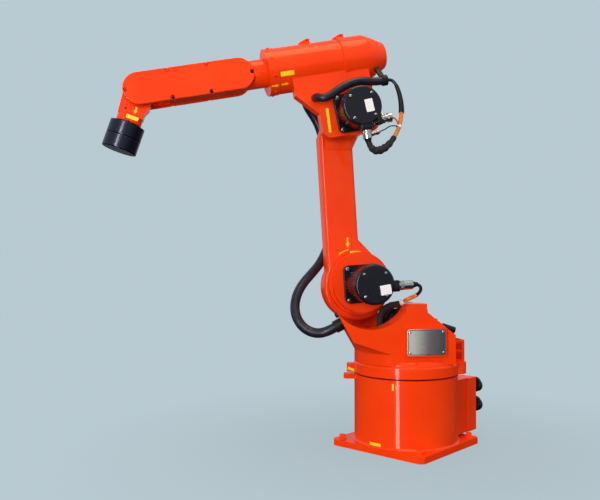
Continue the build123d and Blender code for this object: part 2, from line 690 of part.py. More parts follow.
def elbow_housing():
    tube = rod_along(TUBE_RADIUS, TUBE_REAR + SLEEVE_SHOULDER, TUBE_FRONT, 0, ELBOW_RISE)
    collar = rod_along(TUBE_RADIUS + COLLAR_RISE, TUBE_FRONT - COLLAR_LENGTH, TUBE_FRONT, 0, ELBOW_RISE)
    gusset_top = ELBOW_RISE - TUBE_RADIUS / 2
    profile = outline(
        (BLOCK_REAR, BLOCK_BOTTOM),
        (BLOCK_FRONT, BLOCK_BOTTOM),
        (BLOCK_FRONT, GUSSET_FOOT),
        (GUSSET_FRONT, ELBOW_RISE - TUBE_RADIUS - GUSSET_DROP),
        (GUSSET_FRONT, gusset_top),
        (BLOCK_REAR, gusset_top),
    )
    low_corners = profile.vertices().group_by(Axis.Y)[0]
    profile = fillet(low_corners, BLOCK_CORNER)
    web = slab(profile, BLOCK_NEAR_FACE - WEB_THICKNESS, BLOCK_NEAR_FACE)
    hub = disc_across(ELBOW_HUB_RADIUS, BLOCK_FAR_FACE, BLOCK_NEAR_FACE)
    stem = block(
        -ELBOW_HUB_RADIUS,
        ELBOW_HUB_RADIUS,
        BLOCK_FAR_FACE,
        BLOCK_NEAR_FACE,
        0,
        gusset_top,
    )
    bore = rod_along(
        NECK_RADIUS + SEAT_GAP, TUBE_FRONT - ROLL_BORE_DEPTH, TUBE_FRONT, 0, ELBOW_RISE
    )
    return tube + collar + sleeve() + web + hub + stem - bore


def rear_cover():
    """The dished cover at the back of the tube, notched below for the leads."""
    end = TUBE_REAR - COVER_END_LENGTH
    cover = turned((TUBE_REAR, 0), (TUBE_REAR, SLEEVE_END_RADIUS), (end, COVER_END_RADIUS), (end, 0))
    cover = fillet(cover.edges().group_by(Axis.X)[0], COVER_ROUND)
    low = ELBOW_RISE - SLEEVE_END_RADIUS
    notch = block(end, TUBE_REAR, -NOTCH_WIDTH / 2, NOTCH_WIDTH / 2, low, low + NOTCH_DEPTH)
    return cover - notch


def lifting_lugs():
    """Two ramped lugs along the top of the tube, each with a hole across it."""
    base = ELBOW_RISE + TUBE_RADIUS - LIFT_LUG_WIDTH / 2
    top = ELBOW_RISE + TUBE_RADIUS + LIFT_LUG_HEIGHT
    half = LIFT_LUG_LENGTH / 2
    lugs = Part()
    for place in range(2):
        x = LIFT_LUG_FRONT - place * LIFT_LUG_PITCH
        ramp = outline(
            (x + half, base),
            (x + half, top - 2 * LIFT_LUG_HEIGHT / 3),
            (x - half / 3, top),
            (x - half, top),
            (x - half, base),
        )
        ramp -= Pos(x - half / 2, top - 1.7 * LIFT_LUG_HOLE) * Circle(LIFT_LUG_HOLE)
        lugs += slab(ramp, -LIFT_LUG_WIDTH / 2, LIFT_LUG_WIDTH / 2)
    return lugs - rod_along(TUBE_RADIUS, TUBE_REAR, TUBE_FRONT, 0, ELBOW_RISE) - sleeve()


def tube_seat():
    """On the underside of the tube, towards the far side, facing out of it."""
    drop = sqrt(TUBE_RADIUS**2 - ELBOW_GLAND_Y**2)
    seat = (ELBOW_GLAND_X, ELBOW_GLAND_Y, ELBOW_RISE - drop)
    return Plane(origin=seat, x_dir=(1, 0, 0), z_dir=(0, ELBOW_GLAND_Y, -drop))


def elbow_gland():
    inside = GLAND_RADIUS / 2
    nut = Pos(0, 0, -inside) * extrude(RegularPolygon(GLAND_RADIUS, 6), inside + ELBOW_GLAND_LENGTH / 2)
    ring = extrude(Circle(GLAND_RADIUS - 2), ELBOW_GLAND_LENGTH)
    return tube_seat() * (nut + ring) - rod_along(TUBE_RADIUS, TUBE_REAR, TUBE_FRONT, 0, ELBOW_RISE)


def hose_clamp():
    """A ring on a strap that reaches out and down from the rear end of the tube."""
    ring = rod_along(HOSE_CLAMP_RADIUS, HOSE_CLAMP_REAR, HOSE_CLAMP_REAR + HOSE_CLAMP_LENGTH, HOSE_Y, HOSE_Z)
    down = atan2(ELBOW_RISE - HOSE_Z, HOSE_Y)
    reach = sqrt(HOSE_Y**2 + (ELBOW_RISE - HOSE_Z) ** 2)
    strap = block(
        HOSE_CLAMP_REAR,
        HOSE_CLAMP_REAR + HOSE_CLAMP_LENGTH,
        SLEEVE_END_RADIUS,
        reach,
        -HOSE_STRAP / 2,
        HOSE_STRAP / 2,
    )
    strap = Pos(0, 0, ELBOW_RISE) * Rot(-degrees(down), 0, 0) * strap
    return ring + strap - sleeve()


def elbow_motor_connectors():
    """One plug towards the rear and one straight down."""
    y = plug_y(BLOCK_NEAR_FACE, ELBOW_MOTOR_LENGTH)
    lower = Rot(0, -90, 0) * motor_plug(ELBOW_PLUG_LENGTH, y)
    return motor_plug(REAR_PLUG_LENGTH, y, -REAR_PLUG_DROP) + lower


# Forearm, along the roll axis


def cover_centres():
    return (TUBE_FRONT + NECK_SHOW + COVER_RADIUS, FOREARM_LENGTH)


def stadium(radius):
    rear, front = cover_centres()
    return Pos((rear + front) / 2, 0) * SlotCenterToCenter(front - rear, 2 * radius)


def cover_screws():
    """Places of the six screws at the rim of a cover: two above, two below and one at each end."""
    rear, front = cover_centres()
    middle = (rear + front) / 2
    rim = COVER_RADIUS - COVER_SCREW_INSET
    half = COVER_SCREW_PITCH / 2
    along = [(middle + x, z) for x in (-half, half) for z in (-rim, rim)]
    return along + [(rear - rim, 0), (front + rim, 0)]


def forearm_casting():
    rear, front = cover_centres()
    flats = rear - COVER_RADIUS - COVER_THICKNESS
    neck = rod_along(NECK_RADIUS, TUBE_FRONT - NECK_SEAT, flats)
    root = rod_along(NECK_RADIUS, flats, rear + NECK_RADIUS)
    root &= block(flats, front, -BODY_HALF_WIDTH, BODY_HALF_WIDTH, -NECK_RADIUS, NECK_RADIUS)
    body = slab(stadium(NECK_RADIUS), -BODY_HALF_WIDTH, BODY_HALF_WIDTH)
    slot = block(
        FOREARM_LENGTH - FORK_DEPTH,
        FOREARM_LENGTH + 2 * COVER_RADIUS,
        -FORK_INNER,
        FORK_INNER,
        -2 * COVER_RADIUS,
        2 * COVER_RADIUS,
    )
    return neck + root + body - slot


def forearm_cover(side):
    cover = slab(stadium(COVER_RADIUS), BODY_HALF_WIDTH, BODY_HALF_WIDTH + COVER_THICKNESS)
    cover = fillet(cover.edges().group_by(Axis.Y)[-1], COVER_ROUND_EDGE)
    outer = BODY_HALF_WIDTH + COVER_THICKNESS
    for x, z in cover_screws():
        cover -= disc_across(COVER_NOTCH_RADIUS, outer - COVER_NOTCH_DEPTH, outer, x, z)
    return cover if side > 0 else mirror(cover, Plane.XZ)


# Wrist and tool, along the tool axis


def wrist_housing():
    end = TOOL_REACH - FLANGE_GAP
    hub = disc_across(WRIST_RADIUS, -WRIST_HALF_WIDTH, WRIST_HALF_WIDTH)
    pivots = disc_across(PIVOT_RADIUS, -FORK_INNER + SEAT_GAP, FORK_INNER - SEAT_GAP)
    shank = slab(
        outline(
            (0, -WRIST_RADIUS),
            (WRIST_STEP_START, -WRIST_STEP),
            (WRIST_STEP_END, -WRIST_NECK_RADIUS),
            (WRIST_NECK_START, -WRIST_NECK_RADIUS),
            (WRIST_NECK_START, WRIST_NECK_RADIUS),
            (0, WRIST_RADIUS),
        ),
        -WRIST_HALF_WIDTH,
        WRIST_HALF_WIDTH,
    )
    neck = rod_along(WRIST_NECK_RADIUS, WRIST_NECK_START, end)
    return hub + pivots + shank + neck


def tool_disc(number):
    """One of the two black discs on the tool flange; the first carries the flange spigot."""
    start = TOOL_REACH + number * TOOL_LENGTH
    disc = rod_along(TOOL_RADIUS, start, start + TOOL_LENGTH)
    disc = chamfer(disc.edges().group_by(Axis.X)[-1], TOOL_GROOVE)
    if number == 0:
        disc += rod_along(TOOL_FLANGE_RADIUS, TOOL_REACH - FLANGE_GAP + SEAT_GAP, start)
    return disc


# Cords: each is a tube of straight runs joined by arcs as large as the runs allow


def cord(name, radius, points):
    points = [Vector(*point) for point in points]
    radii = []
    for before, at, after in zip(points, points[1:], points[2:]):
        turn = (at - before).get_angle(after - at)
        run = min((at - before).length, (after - at).length)
        radii.append(0.45 * run / tan(radians(turn / 2)))
    path = FilletPolyline(*points, radius=radii)
    tube = sweep(Plane(origin=path @ 0, z_dir=path % 0) * Circle(radius), path=path)
    print(name, "radii", [round(value) for value in radii], "volume", round(tube.volume),
          "section by length", round(pi * radius**2 * path.length))
    return tube


def in_arm_frame(frame, *point):
    """A point of one of the bodies' frames, seen from the arm's upright frame."""
    return (ARM_FRAME.inverse() * frame * Pos(*point)).position


def conduit_loop():
    """Hangs in front of the shoulder, from the gland on the chin to the lower clamp."""
    gland = COLUMN_FRAME * Location(slope_frame(GLAND_Y, GLAND_HEIGHT))
    end = (CONDUIT_X, conduit_y(), CLAMP_LOW)
    return cord(
        "conduit_loop",
        CONDUIT_RADIUS,
        [
            in_arm_frame(gland, 0, 0, GLAND_LENGTH),
            in_arm_frame(gland, 0, 0, GLAND_LENGTH + 26),
            (314, 70, 367),
            (346, 51, 381),
            (366, 33, 411),
            (369, 12, 446),
            (357, -8, 484),
            (333, -30, 517),
            (300, -55, 547),
            (268, -81, 576),
            (245, -93, 612),
            in_arm_frame(LOWER_FRAME, end[0], end[1], end[2] - 32),
            in_arm_frame(LOWER_FRAME, *end),
        ],
    )


def shoulder_lead():
    """Leaves the plug of the shoulder motor and drops through the saddle to the floor of the well."""
    y = plug_y(BOSS_FACE, SHOULDER_MOTOR_LENGTH)
    plug = (-MOTOR_CAP_RADIUS - SHOULDER_PLUG_LENGTH, y, -SHOULDER_PLUG_DROP)
    return cord(
        "shoulder_lead",
        LEAD_RADIUS,
        [
            in_arm_frame(LOWER_FRAME, *plug),
            in_arm_frame(LOWER_FRAME, plug[0] - 20, plug[1], plug[2]),
            (4, 150, 506),
            (8, 136, 488),
            (26, 118, 476),
            (44, 98, 464),
            (63, 77, 450),
            (79, 57, 430),
            (87, 42, 406),
            (87, 37, FLANGE_TOP + SADDLE_FLOOR + 16),
            (87, 37, FLANGE_TOP + SADDLE_FLOOR),
        ],
    )


def conduit_elbow_loop():
    """Goes on from the upper clamp to the gland under the tube."""
    start = (CONDUIT_X, conduit_y(), CLAMP_HIGH + CLAMP_LENGTH)
    gland = ELBOW_FRAME * Location(tube_seat())
    return cord(
        "conduit_elbow_loop",
        CONDUIT_RADIUS,
        [
            in_arm_frame(LOWER_FRAME, *start),
            in_arm_frame(LOWER_FRAME, start[0], start[1], start[2] + 40),
            (256, -95, 1010),
            (272, -97, 1052),
            (297, -91, 1084),
            in_arm_frame(gland, 0, 0, ELBOW_GLAND_LENGTH + 32),
            in_arm_frame(gland, 0, 0, ELBOW_GLAND_LENGTH),
        ],
    )


def elbow_hose():
    """Comes out of the gusset in front of the motor and passes over it to the clamp."""
    front = HOSE_CLAMP_REAR + HOSE_CLAMP_LENGTH
    return cord(
        "elbow_hose",
        HOSE_RADIUS,
        [
            (113, BLOCK_NEAR_FACE, 62),
            (113, 76, 62),
            (108, 93, 54),
            (92, 101, 49),
            (70, 101, 57),
            (40, 100, 72),
            (2, 98, 84),
            (-38, 95, 85),
            (front + 26, HOSE_Y, HOSE_Z),
            (front, HOSE_Y, HOSE_Z),
        ],
    )


def motor_lead():
    """Hangs from the clamp behind the motor and comes up to its lower plug."""
    y = plug_y(BLOCK_NEAR_FACE, ELBOW_MOTOR_LENGTH)
    end = -MOTOR_CAP_RADIUS - ELBOW_PLUG_LENGTH
    return cord(
        "motor_lead",
        LEAD_RADIUS,
        [
            (HOSE_CLAMP_REAR, HOSE_Y, HOSE_Z),
            (HOSE_CLAMP_REAR - 14, HOSE_Y, HOSE_Z),
            (-139, 95, 60),
            (-143, 100, 30),
            (-140, 106, -10),
            (-130, 112, -46),
            (-112, 118, -80),
            (-88, 124, -109),
            (-60, 131, -130),
            (-32, 138, -140),
            (-9, y - 1, -136),
            (0, y, end - 12),
            (0, y, end),
        ],
    )


# Every node with the frame that it is drawn in

NODES = {
    "base_casting": (Location(), base_casting()),
    "connector_box": (Location(), connector_box()),
    "power_connector": (Location(), base_connector(41)),
    "signal_connector": (Location(), base_connector(41 + CONNECTOR_PITCH)),
    "swivel_reducer": (Location(), swivel_reducer()),
    "column_casting": (COLUMN_FRAME, column_casting()),
    "rating_plate": (COLUMN_FRAME, rating_plate()),
    "swivel_motor": (COLUMN_FRAME, swivel_motor()),
    "swivel_motor_connectors": (COLUMN_FRAME, swivel_motor_connectors()),
    "rear_guard": (COLUMN_FRAME, rear_guard()),
    "shoulder_reducer": (COLUMN_FRAME, shoulder_reducer()),
    "conduit_gland": (COLUMN_FRAME, conduit_gland()),
    "sealing_plug": (COLUMN_FRAME, sealing_plug()),
    "lower_arm_casting": (LOWER_FRAME, lower_arm_casting()),
    "shoulder_motor_flange": (LOWER_FRAME, motor_flange(BOSS_FACE)),
    "shoulder_motor": (LOWER_FRAME, motor_body(BOSS_FACE, SHOULDER_MOTOR_LENGTH)),
    "shoulder_motor_cap": (LOWER_FRAME, motor_cap(BOSS_FACE, SHOULDER_MOTOR_LENGTH)),
    "shoulder_motor_connectors": (LOWER_FRAME, shoulder_motor_connectors()),
    "elbow_reducer": (LOWER_FRAME, elbow_reducer()),
    "conduit_clamp_lower": (LOWER_FRAME, conduit_clamp(CLAMP_LOW)),
    "conduit_clamp_upper": (LOWER_FRAME, conduit_clamp(CLAMP_HIGH)),
    "conduit_run": (LOWER_FRAME, conduit_run()),
    "conduit_loop": (ARM_FRAME, conduit_loop()),
    "shoulder_lead": (ARM_FRAME, shoulder_lead()),
    "elbow_housing": (ELBOW_FRAME, elbow_housing()),
    "rear_cover": (ELBOW_FRAME, rear_cover()),
    "lifting_lugs": (ELBOW_FRAME, lifting_lugs()),
    "elbow_motor_flange": (ELBOW_FRAME, motor_flange(BLOCK_NEAR_FACE)),
    "elbow_motor": (ELBOW_FRAME, motor_body(BLOCK_NEAR_FACE, ELBOW_MOTOR_LENGTH)),
    "elbow_motor_cap": (ELBOW_FRAME, motor_cap(BLOCK_NEAR_FACE, ELBOW_MOTOR_LENGTH)),
    "elbow_motor_connectors": (ELBOW_FRAME, elbow_motor_connectors()),
    "elbow_gland": (ELBOW_FRAME, elbow_gland()),
    "conduit_elbow_loop": (ARM_FRAME, conduit_elbow_loop()),
    "hose_clamp": (ELBOW_FRAME, hose_clamp()),
    "elbow_hose": (ELBOW_FRAME, elbow_hose()),
    "motor_lead": (ELBOW_FRAME, motor_lead()),
    "forearm_casting": (FOREARM_FRAME, forearm_casting()),
    "near_cover": (FOREARM_FRAME, forearm_cover(1)),
    "far_cover": (FOREARM_FRAME, forearm_cover(-1)),
    "wrist_housing": (WRIST_FRAME, wrist_housing()),
    "tool_disc_upper": (WRIST_FRAME, tool_disc(0)),
    "tool_disc_lower": (WRIST_FRAME, tool_disc(1)),
}

os.makedirs("parts", exist_ok=True)
for name, (frame, shape) in NODES.items():
    export_step(frame * shape, f"parts/{name}.step")
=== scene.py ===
# %% [markdown]
# # A six-axis robot arm
#
# A factory robot arm stands on a drum bolted to the floor. Above the drum a column swivels, then come
# the lower arm, the elbow with its roll tube, the forearm, the wrist and a pair of tool discs.
# The solid model already has every casting in its true place, so this script only dresses it: rounded
# edges, paint, hoses, screws, labels and leads. Most pieces ride on the body that carries them; the hoses
# and lead parts that cross a joint are baked in place in the shared frame.

# %% Load the frame
import json
from math import cos, pi, radians, sin, sqrt

import bmesh
import bpy
from mathutils import Matrix, Vector


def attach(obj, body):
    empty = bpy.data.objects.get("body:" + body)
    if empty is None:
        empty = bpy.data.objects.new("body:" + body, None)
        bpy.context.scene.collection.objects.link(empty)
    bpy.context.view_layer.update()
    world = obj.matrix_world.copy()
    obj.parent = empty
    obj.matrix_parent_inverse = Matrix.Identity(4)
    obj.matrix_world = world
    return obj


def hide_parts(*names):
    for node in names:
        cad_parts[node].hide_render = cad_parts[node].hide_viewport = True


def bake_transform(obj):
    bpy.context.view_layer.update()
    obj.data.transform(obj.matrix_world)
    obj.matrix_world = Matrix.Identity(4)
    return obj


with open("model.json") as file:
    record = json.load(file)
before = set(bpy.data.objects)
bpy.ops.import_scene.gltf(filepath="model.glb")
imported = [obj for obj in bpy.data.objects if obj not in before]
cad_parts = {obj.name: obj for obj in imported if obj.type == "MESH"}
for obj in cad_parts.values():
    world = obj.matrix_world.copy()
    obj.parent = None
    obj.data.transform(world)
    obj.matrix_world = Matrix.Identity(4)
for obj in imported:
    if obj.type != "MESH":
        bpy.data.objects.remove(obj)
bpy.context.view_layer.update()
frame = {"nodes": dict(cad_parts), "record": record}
nodes = frame["nodes"]

# %% [markdown]
# ## Frames of the moving bodies
#
# Each casting is drawn in a frame of its own: the column's stands on its flange, the lower arm's on the
# shoulder axis, the elbow's on the elbow axis and so on. Working in these frames keeps the numbers
# simple, because "90 mm towards the front" means the same thing however the arm is posed. In each of
# them x looks forward, y to the camera's side and z up, and they lean with their bodies.

# %% Frames
MM = 0.001
FRONT, BACK = (1, 0, 0), (-1, 0, 0)
NEAR = (0, 1, 0)
UP, DOWN = (0, 0, 1), (0, 0, -1)
HEADING, ARM_LEAN, ELBOW_LEAN, WRIST_LEAN = -36, 3.6, 7.9, 60
COLUMN_RISE = 270
SHOULDER_REACH, SHOULDER_RISE = 156, 248
ARM_LENGTH = 535
TUBE_RISE = 174
WRIST_REACH = 630


def turn(angle, axis):
    return Matrix.Rotation(radians(angle), 4, axis)


def shift(x, y, z):
    return Matrix.Translation(Vector((x, y, z)) * MM)


BASE = Matrix.Identity(4)
ARM = turn(HEADING, "Z")
COLUMN = ARM @ shift(0, 0, COLUMN_RISE)
LOWER = COLUMN @ shift(SHOULDER_REACH, 0, SHOULDER_RISE) @ turn(ARM_LEAN, "Y")
ELBOW = LOWER @ shift(0, 0, ARM_LENGTH) @ turn(ELBOW_LEAN, "Y")
FOREARM = ELBOW @ shift(0, 0, TUBE_RISE)
WRIST = FOREARM @ shift(WRIST_REACH, 0, 0) @ turn(WRIST_LEAN, "Y")


def at(place, x, y, z):
    """A point in millimetres of one of the frames, in metres in the shared frame."""
    return place @ (Vector((x, y, z)) * MM)


def all_at(place, points):
    return [at(place, *point) for point in points]


print("wrist axis at", [round(v, 3) for v in at(WRIST, 0, 0, 0)])

# %% [markdown]
# ## Camera
#
# The camera stands where the photographer stood: at about chest height, in front and to the left of the
# arm, looking almost level. A focal length of 41.7 mm on a 36 mm sensor gives the same perspective.

# %% Camera
CAMERA_AT = Vector((1.894, 1.266, 0.584))
LOOK_X, LOOK_Y = -0.7386, -0.6739
LOOK_UP = radians(1.03)
LENS, SENSOR = 41.717, 36
camera_data = bpy.data.cameras.new("camera")
camera_data.sensor_width = SENSOR
camera_data.lens = LENS
camera = bpy.data.objects.new("camera", camera_data)
bpy.context.scene.collection.objects.link(camera)
gaze = Vector((LOOK_X * cos(LOOK_UP), LOOK_Y * cos(LOOK_UP), sin(LOOK_UP)))
camera.matrix_world = Matrix.Translation(CAMERA_AT) @ gaze.to_track_quat("-Z", "Y").to_matrix().to_4x4()
bpy.context.scene.camera = camera
print("lens", round(camera_data.lens, 1))

# %% [markdown]
# ## A way to write materials
#
# Colours are written as the hex values a painter would read from a chart, so one function turns them
# into the linear numbers that the renderer works in. One more adds a node with its settings and its
# links, and each material is then a short list of such nodes. The size of a pattern is given in
# millimetres of the real surface.

# %% Colours and nodes
WAVE_RIDGES = 6.3  # ridges and grooves to the metre in a wave texture of scale 1


def colour(text):
    parts = [int(text[i : i + 2], 16) / 255 for i in (0, 2, 4)]
    return [p / 12.92 if p <= 0.04045 else ((p + 0.055) / 1.055) ** 2.4 for p in parts] + [1.0]


def set_stops(elements, stops):
    """Fills a colour band from pairs of position and hex colour."""
    while len(elements) < len(stops):
        elements.new(0.5)
    for element, (position, text) in zip(elements, stops):
        element.position = position
        element.color = colour(text)


def add(tree, kind, settings=None, links=None):
    """Adds a node: settings go to its colour band, its sockets or its own properties, links come from
    other nodes. A socket is named by its label, or by its place where two share one label."""
    made = tree.nodes.new(kind)
    for name, value in (settings or {}).items():
        if name == "stops":
            set_stops(made.color_ramp.elements, value)
        elif isinstance(name, int) or name in made.inputs.keys():
            made.inputs[name].default_value = value
        else:
            setattr(made, name, value)
    for name, (source, output) in (links or {}).items():
        tree.links.new(source.outputs[output], made.inputs[name])
    return made


def start(name):
    """An empty material, its tree and the node that gives places on the piece."""
    made = bpy.data.materials.new(name)
    made.use_nodes = True
    made.node_tree.nodes.clear()
    return made, made.node_tree, add(made.node_tree, "ShaderNodeTexCoord")


def close(tree, settings, links):
    """Ends a material: everything made so far goes into its surface."""
    surface = add(tree, "ShaderNodeBsdfPrincipled", settings, links)
    add(tree, "ShaderNodeOutputMaterial", links={"Surface": (surface, "BSDF")})


def per_size(millimetres):
    """The texture scale whose features are about that many millimetres apart."""
    return 1000 / millimetres


def per_ridge(millimetres):
    """The scale of a wave texture whose ridges are about that many millimetres wide."""
    return per_size(millimetres) / WAVE_RIDGES


print("orange in linear light", [round(v, 3) for v in colour("f2431e")])

# %% [markdown]
# ## Orange enamel
#
# The castings are sprayed with a two-pack enamel over a filled and rubbed casting. What the eye gets is
# a strong, even colour, sharp reflections on top of it from the clear film, and the faint wobble in
# those reflections that painters call orange peel, about 4 mm across. A slow drift in tone over a hand's
# breadth keeps large panels from looking like one flat fill.


# %% Orange enamel
def sprayed(name, dark, light, drift_size, peel_size):
    made, tree, place = start(name)
    on_piece = {"Vector": (place, "Object")}
    drift = add(tree, "ShaderNodeTexNoise", {"Scale": per_size(drift_size), "Detail": 2.0}, on_piece)
    stops = [(0.3, dark), (0.7, light)]
    tone = add(tree, "ShaderNodeValToRGB", {"stops": stops}, {"Fac": (drift, "Fac")})
    peel = add(tree, "ShaderNodeTexNoise", {"Scale": per_size(peel_size), "Detail": 1.0}, on_piece)
    rough = add(tree, "ShaderNodeMapRange", {"To Min": 0.34, "To Max": 0.42}, {"Value": (drift, "Fac")})
    relief = {"Strength": 0.05, "Distance": 0.6 * MM}
    bump = add(tree, "ShaderNodeBump", relief, {"Height": (peel, "Fac")})
    close(
        tree,
        {"IOR": 1.5, "Specular IOR Level": 0.06, "Coat Weight": 0.3, "Coat Roughness": 0.07},
        {"Base Color": (tone, "Color"), "Roughness": (rough, "Result"), "Normal": (bump, "Normal")},
    )
    return made


enamel = sprayed("orange_enamel", "ee3806", "f3420a", drift_size=160, peel_size=4)
print("made", enamel.name)

# %% [markdown]
# ## Black motor paint, oxide black steel and machined steel
#
# The motors are die castings under a thin, glossy black paint that still shows the grain of the mould.
# The tool discs are turned steel, blackened in a hot oxide bath and oiled: a dark blue-black metal with
# the fine rings of the lathe, under a film that carries a soft, broad highlight. The bearing faces
# between the bodies are bare machined steel.


# %% Black paint and steels
def mottled(name, dark, light, size, roughness, depth, metallic=0.0, shine=0.5):
    """A finish with an even grain: a drift in colour and gloss and a bump, all of one size."""
    made, tree, place = start(name)
    scale = {"Scale": per_size(size), "Detail": 3.0}
    grain = add(tree, "ShaderNodeTexNoise", scale, {"Vector": (place, "Object")})
    stops = [(0.35, dark), (0.65, light)]
    tone = add(tree, "ShaderNodeValToRGB", {"stops": stops}, {"Fac": (grain, "Fac")})
    gloss = {"To Min": roughness - 0.06, "To Max": roughness + 0.06}
    rough = add(tree, "ShaderNodeMapRange", gloss, {"Value": (grain, "Fac")})
    relief = {"Strength": 0.25, "Distance": depth * MM}
    bump = add(tree, "ShaderNodeBump", relief, {"Height": (grain, "Fac")})
    close(
        tree,
        {"Metallic": metallic, "Specular IOR Level": shine},
        {"Base Color": (tone, "Color"), "Roughness": (rough, "Result"), "Normal": (bump, "Normal")},
    )
    return made


def turned_steel(name, dark, light, place_of_axis, ridge):
    """Rings about an axis, as a lathe leaves them but coarser, so that they show, under an oil film."""
    made, tree, place = start(name)
    spin = place_of_axis.inverted()
    mapping = add(
        tree,
        "ShaderNodeMapping",
        {"vector_type": "POINT", "Location": spin.to_translation(), "Rotation": spin.to_euler()},
        {"Vector": (place, "Object")},
    )
    rings = add(
        tree,
        "ShaderNodeTexWave",
        {"bands_direction": "X", "Scale": per_ridge(ridge), "Distortion": 0.6, "Detail": 2.0},
        {"Vector": (mapping, "Vector")},
    )
    stops = [(0.2, dark), (0.8, light)]
    tone = add(tree, "ShaderNodeValToRGB", {"stops": stops}, {"Fac": (rings, "Fac")})
    relief = {"Strength": 0.15, "Distance": 0.2 * MM}
    bump = add(tree, "ShaderNodeBump", relief, {"Height": (rings, "Fac")})
    metal = {"Metallic": 0.85, "Roughness": 0.32, "Anisotropic": 0.2, "Specular Tint": colour("3a3a44")}
    film = {"Coat Weight": 0.8, "Coat Roughness": 0.24}
    close(tree, metal | film, {"Base Color": (tone, "Color"), "Normal": (bump, "Normal")})
    return made


motor_paint = mottled("black_motor_paint", "0c0b12", "17151f", 2.5, 0.26, 0.3, shine=0.35)
oxide_steel = turned_steel("black_oxide_steel", "0e0b1d", "171333", WRIST, ridge=1.2)
machined_steel = mottled("machined_steel", "7f8184", "9c9ea1", 6, 0.32, 0.1, metallic=1.0)
print("made", motor_paint.name, oxide_steel.name, machined_steel.name)

# %% [markdown]
# ## Nylon, hose jacket, plated fittings and labels
#
# Small parts bring in the other materials: moulded black nylon with a fine spark-eroded grain, a smooth
# PVC hose jacket with a cool sheen, zinc and nickel plating on screws and plug shells, and vinyl labels
# that stay blank.

# %% Small finishes
nylon = mottled("black_nylon", "0d0d0f", "161618", 0.9, 0.5, 0.2, shine=0.3)
jacket = mottled("pvc_hose_jacket", "13121d", "201e32", 14, 0.36, 0.2, shine=0.4)
zinc = mottled("zinc_plate", "b3b5b8", "cfd0d2", 3, 0.28, 0.1, metallic=1.0)
nickel = mottled("nickel_plate", "b9b4ac", "d6d2ca", 4, 0.22, 0.1, metallic=1.0)
blank_vinyl = mottled("blank_white_vinyl", "e6e0e8", "f1edf2", 20, 0.4, 0.1)
yellow_vinyl = mottled("yellow_vinyl", "eec816", "f6d823", 18, 0.38, 0.1)
print("made", [finish.name for finish in (nylon, jacket, zinc, nickel, blank_vinyl, yellow_vinyl)])

# %% [markdown]
# ## Brushed plate
#
# The rating plate is anodised aluminium, brushed along its length. The brushing leaves streaks. A painted
# sheen in its colour, bright at the front end and fading towards the back, stands in for the light it
# reflects. A noise squeezed along the plate's own x gives the streaks, and the same x gives the painted
# sheen.

# %% Brushed plate
PLATE_CENTRE = (-14, 147, 72)
PLATE_HALF = 62


def brushed_plate(name, streak):
    made, tree, place = start(name)
    along = add(
        tree,
        "ShaderNodeMapping",
        {"vector_type": "TEXTURE", "Location": at(COLUMN, *PLATE_CENTRE), "Rotation": COLUMN.to_euler()},
        {"Vector": (place, "Object")},
    )
    squeeze = {"Scale": (0.03, 1.0, 1.0)}
    stretched = add(tree, "ShaderNodeMapping", squeeze, {"Vector": (along, "Vector")})
    scale = {"Scale": per_size(streak), "Detail": 2.0}
    streaks = add(tree, "ShaderNodeTexNoise", scale, {"Vector": (stretched, "Vector")})
    split = add(tree, "ShaderNodeSeparateXYZ", links={0: (along, "Vector")})
    ends = {"From Min": -PLATE_HALF * MM, "From Max": PLATE_HALF * MM}
    # Painted sheen: the colour brightens from the back of the plate to its front end.
    painted_sheen_fade = add(tree, "ShaderNodeMapRange", ends, {"Value": (split, "X")})
    weight = {"operation": "MULTIPLY_ADD", 1: 0.3}
    streaks_and_painted_sheen = add(tree, "ShaderNodeMath", weight, {0: (streaks, "Fac"), 2: (painted_sheen_fade, "Result")})
    stops = [(0.15, "5b5960"), (0.6, "88878b"), (1.0, "f6f4ea")]
    tone = add(tree, "ShaderNodeValToRGB", {"stops": stops}, {"Fac": (streaks_and_painted_sheen, "Value")})
    relief = {"Strength": 0.2, "Distance": 0.1 * MM}
    bump = add(tree, "ShaderNodeBump", relief, {"Height": (streaks, "Fac")})
    close(
        tree,
        {"Metallic": 0.65, "Roughness": 0.3, "Anisotropic": 0.6},
        {"Base Color": (tone, "Color"), "Normal": (bump, "Normal")},
    )
    return made


plate_metal = brushed_plate("brushed_aluminium", streak=0.8)
print("made", plate_metal.name)

# %% [markdown]
# ## Woven sleeve and tape
#
# The leads wear a braided orange sleeve and black cloth tape. Both are drawn as a plain weave: two waves
# that cross, multiplied, leave small square cushions, bright on top and dark between. Real threads are
# finer, but would not show.


# %% Woven finishes
def woven(name, dark, light, thread):
    made, tree, place = start(name)
    waves = [
        add(
            tree,
            "ShaderNodeTexWave",
            {"bands_direction": way, "Scale": per_ridge(thread), "Distortion": 0.4},
            {"Vector": (place, "Object")},
        )
        for way in ("X", "Z")
    ]
    crossing = {0: (waves[0], "Fac"), 1: (waves[1], "Fac")}
    cross = add(tree, "ShaderNodeMath", {"operation": "MULTIPLY"}, crossing)
    stops = [(0.05, dark), (0.6, light)]
    tone = add(tree, "ShaderNodeValToRGB", {"stops": stops}, {"Fac": (cross, "Value")})
    relief = {"Strength": 0.5, "Distance": 0.4 * MM}
    bump = add(tree, "ShaderNodeBump", relief, {"Height": (cross, "Value")})
    close(tree, {"Roughness": 0.75}, {"Base Color": (tone, "Color"), "Normal": (bump, "Normal")})
    return made


orange_sleeve = woven("orange_braided_sleeve", "c25a12", "f5a03a", thread=1.6)
cloth_tape = woven("black_cloth_tape", "101012", "262629", thread=1.4)
print("made", orange_sleeve.name, cloth_tape.name)

# %% [markdown]
# ## Dressing the castings
#
# A casting never has a knife edge: the mould gives every corner a radius of a few millimetres, and that
# thin band catches the light. The solid's triangles are welded, flat areas are dissolved into whole
# faces, and a Bevel modifier then rounds every edge sharper than 30 degrees. Weighted normals keep the
# flat areas flat in the shading.

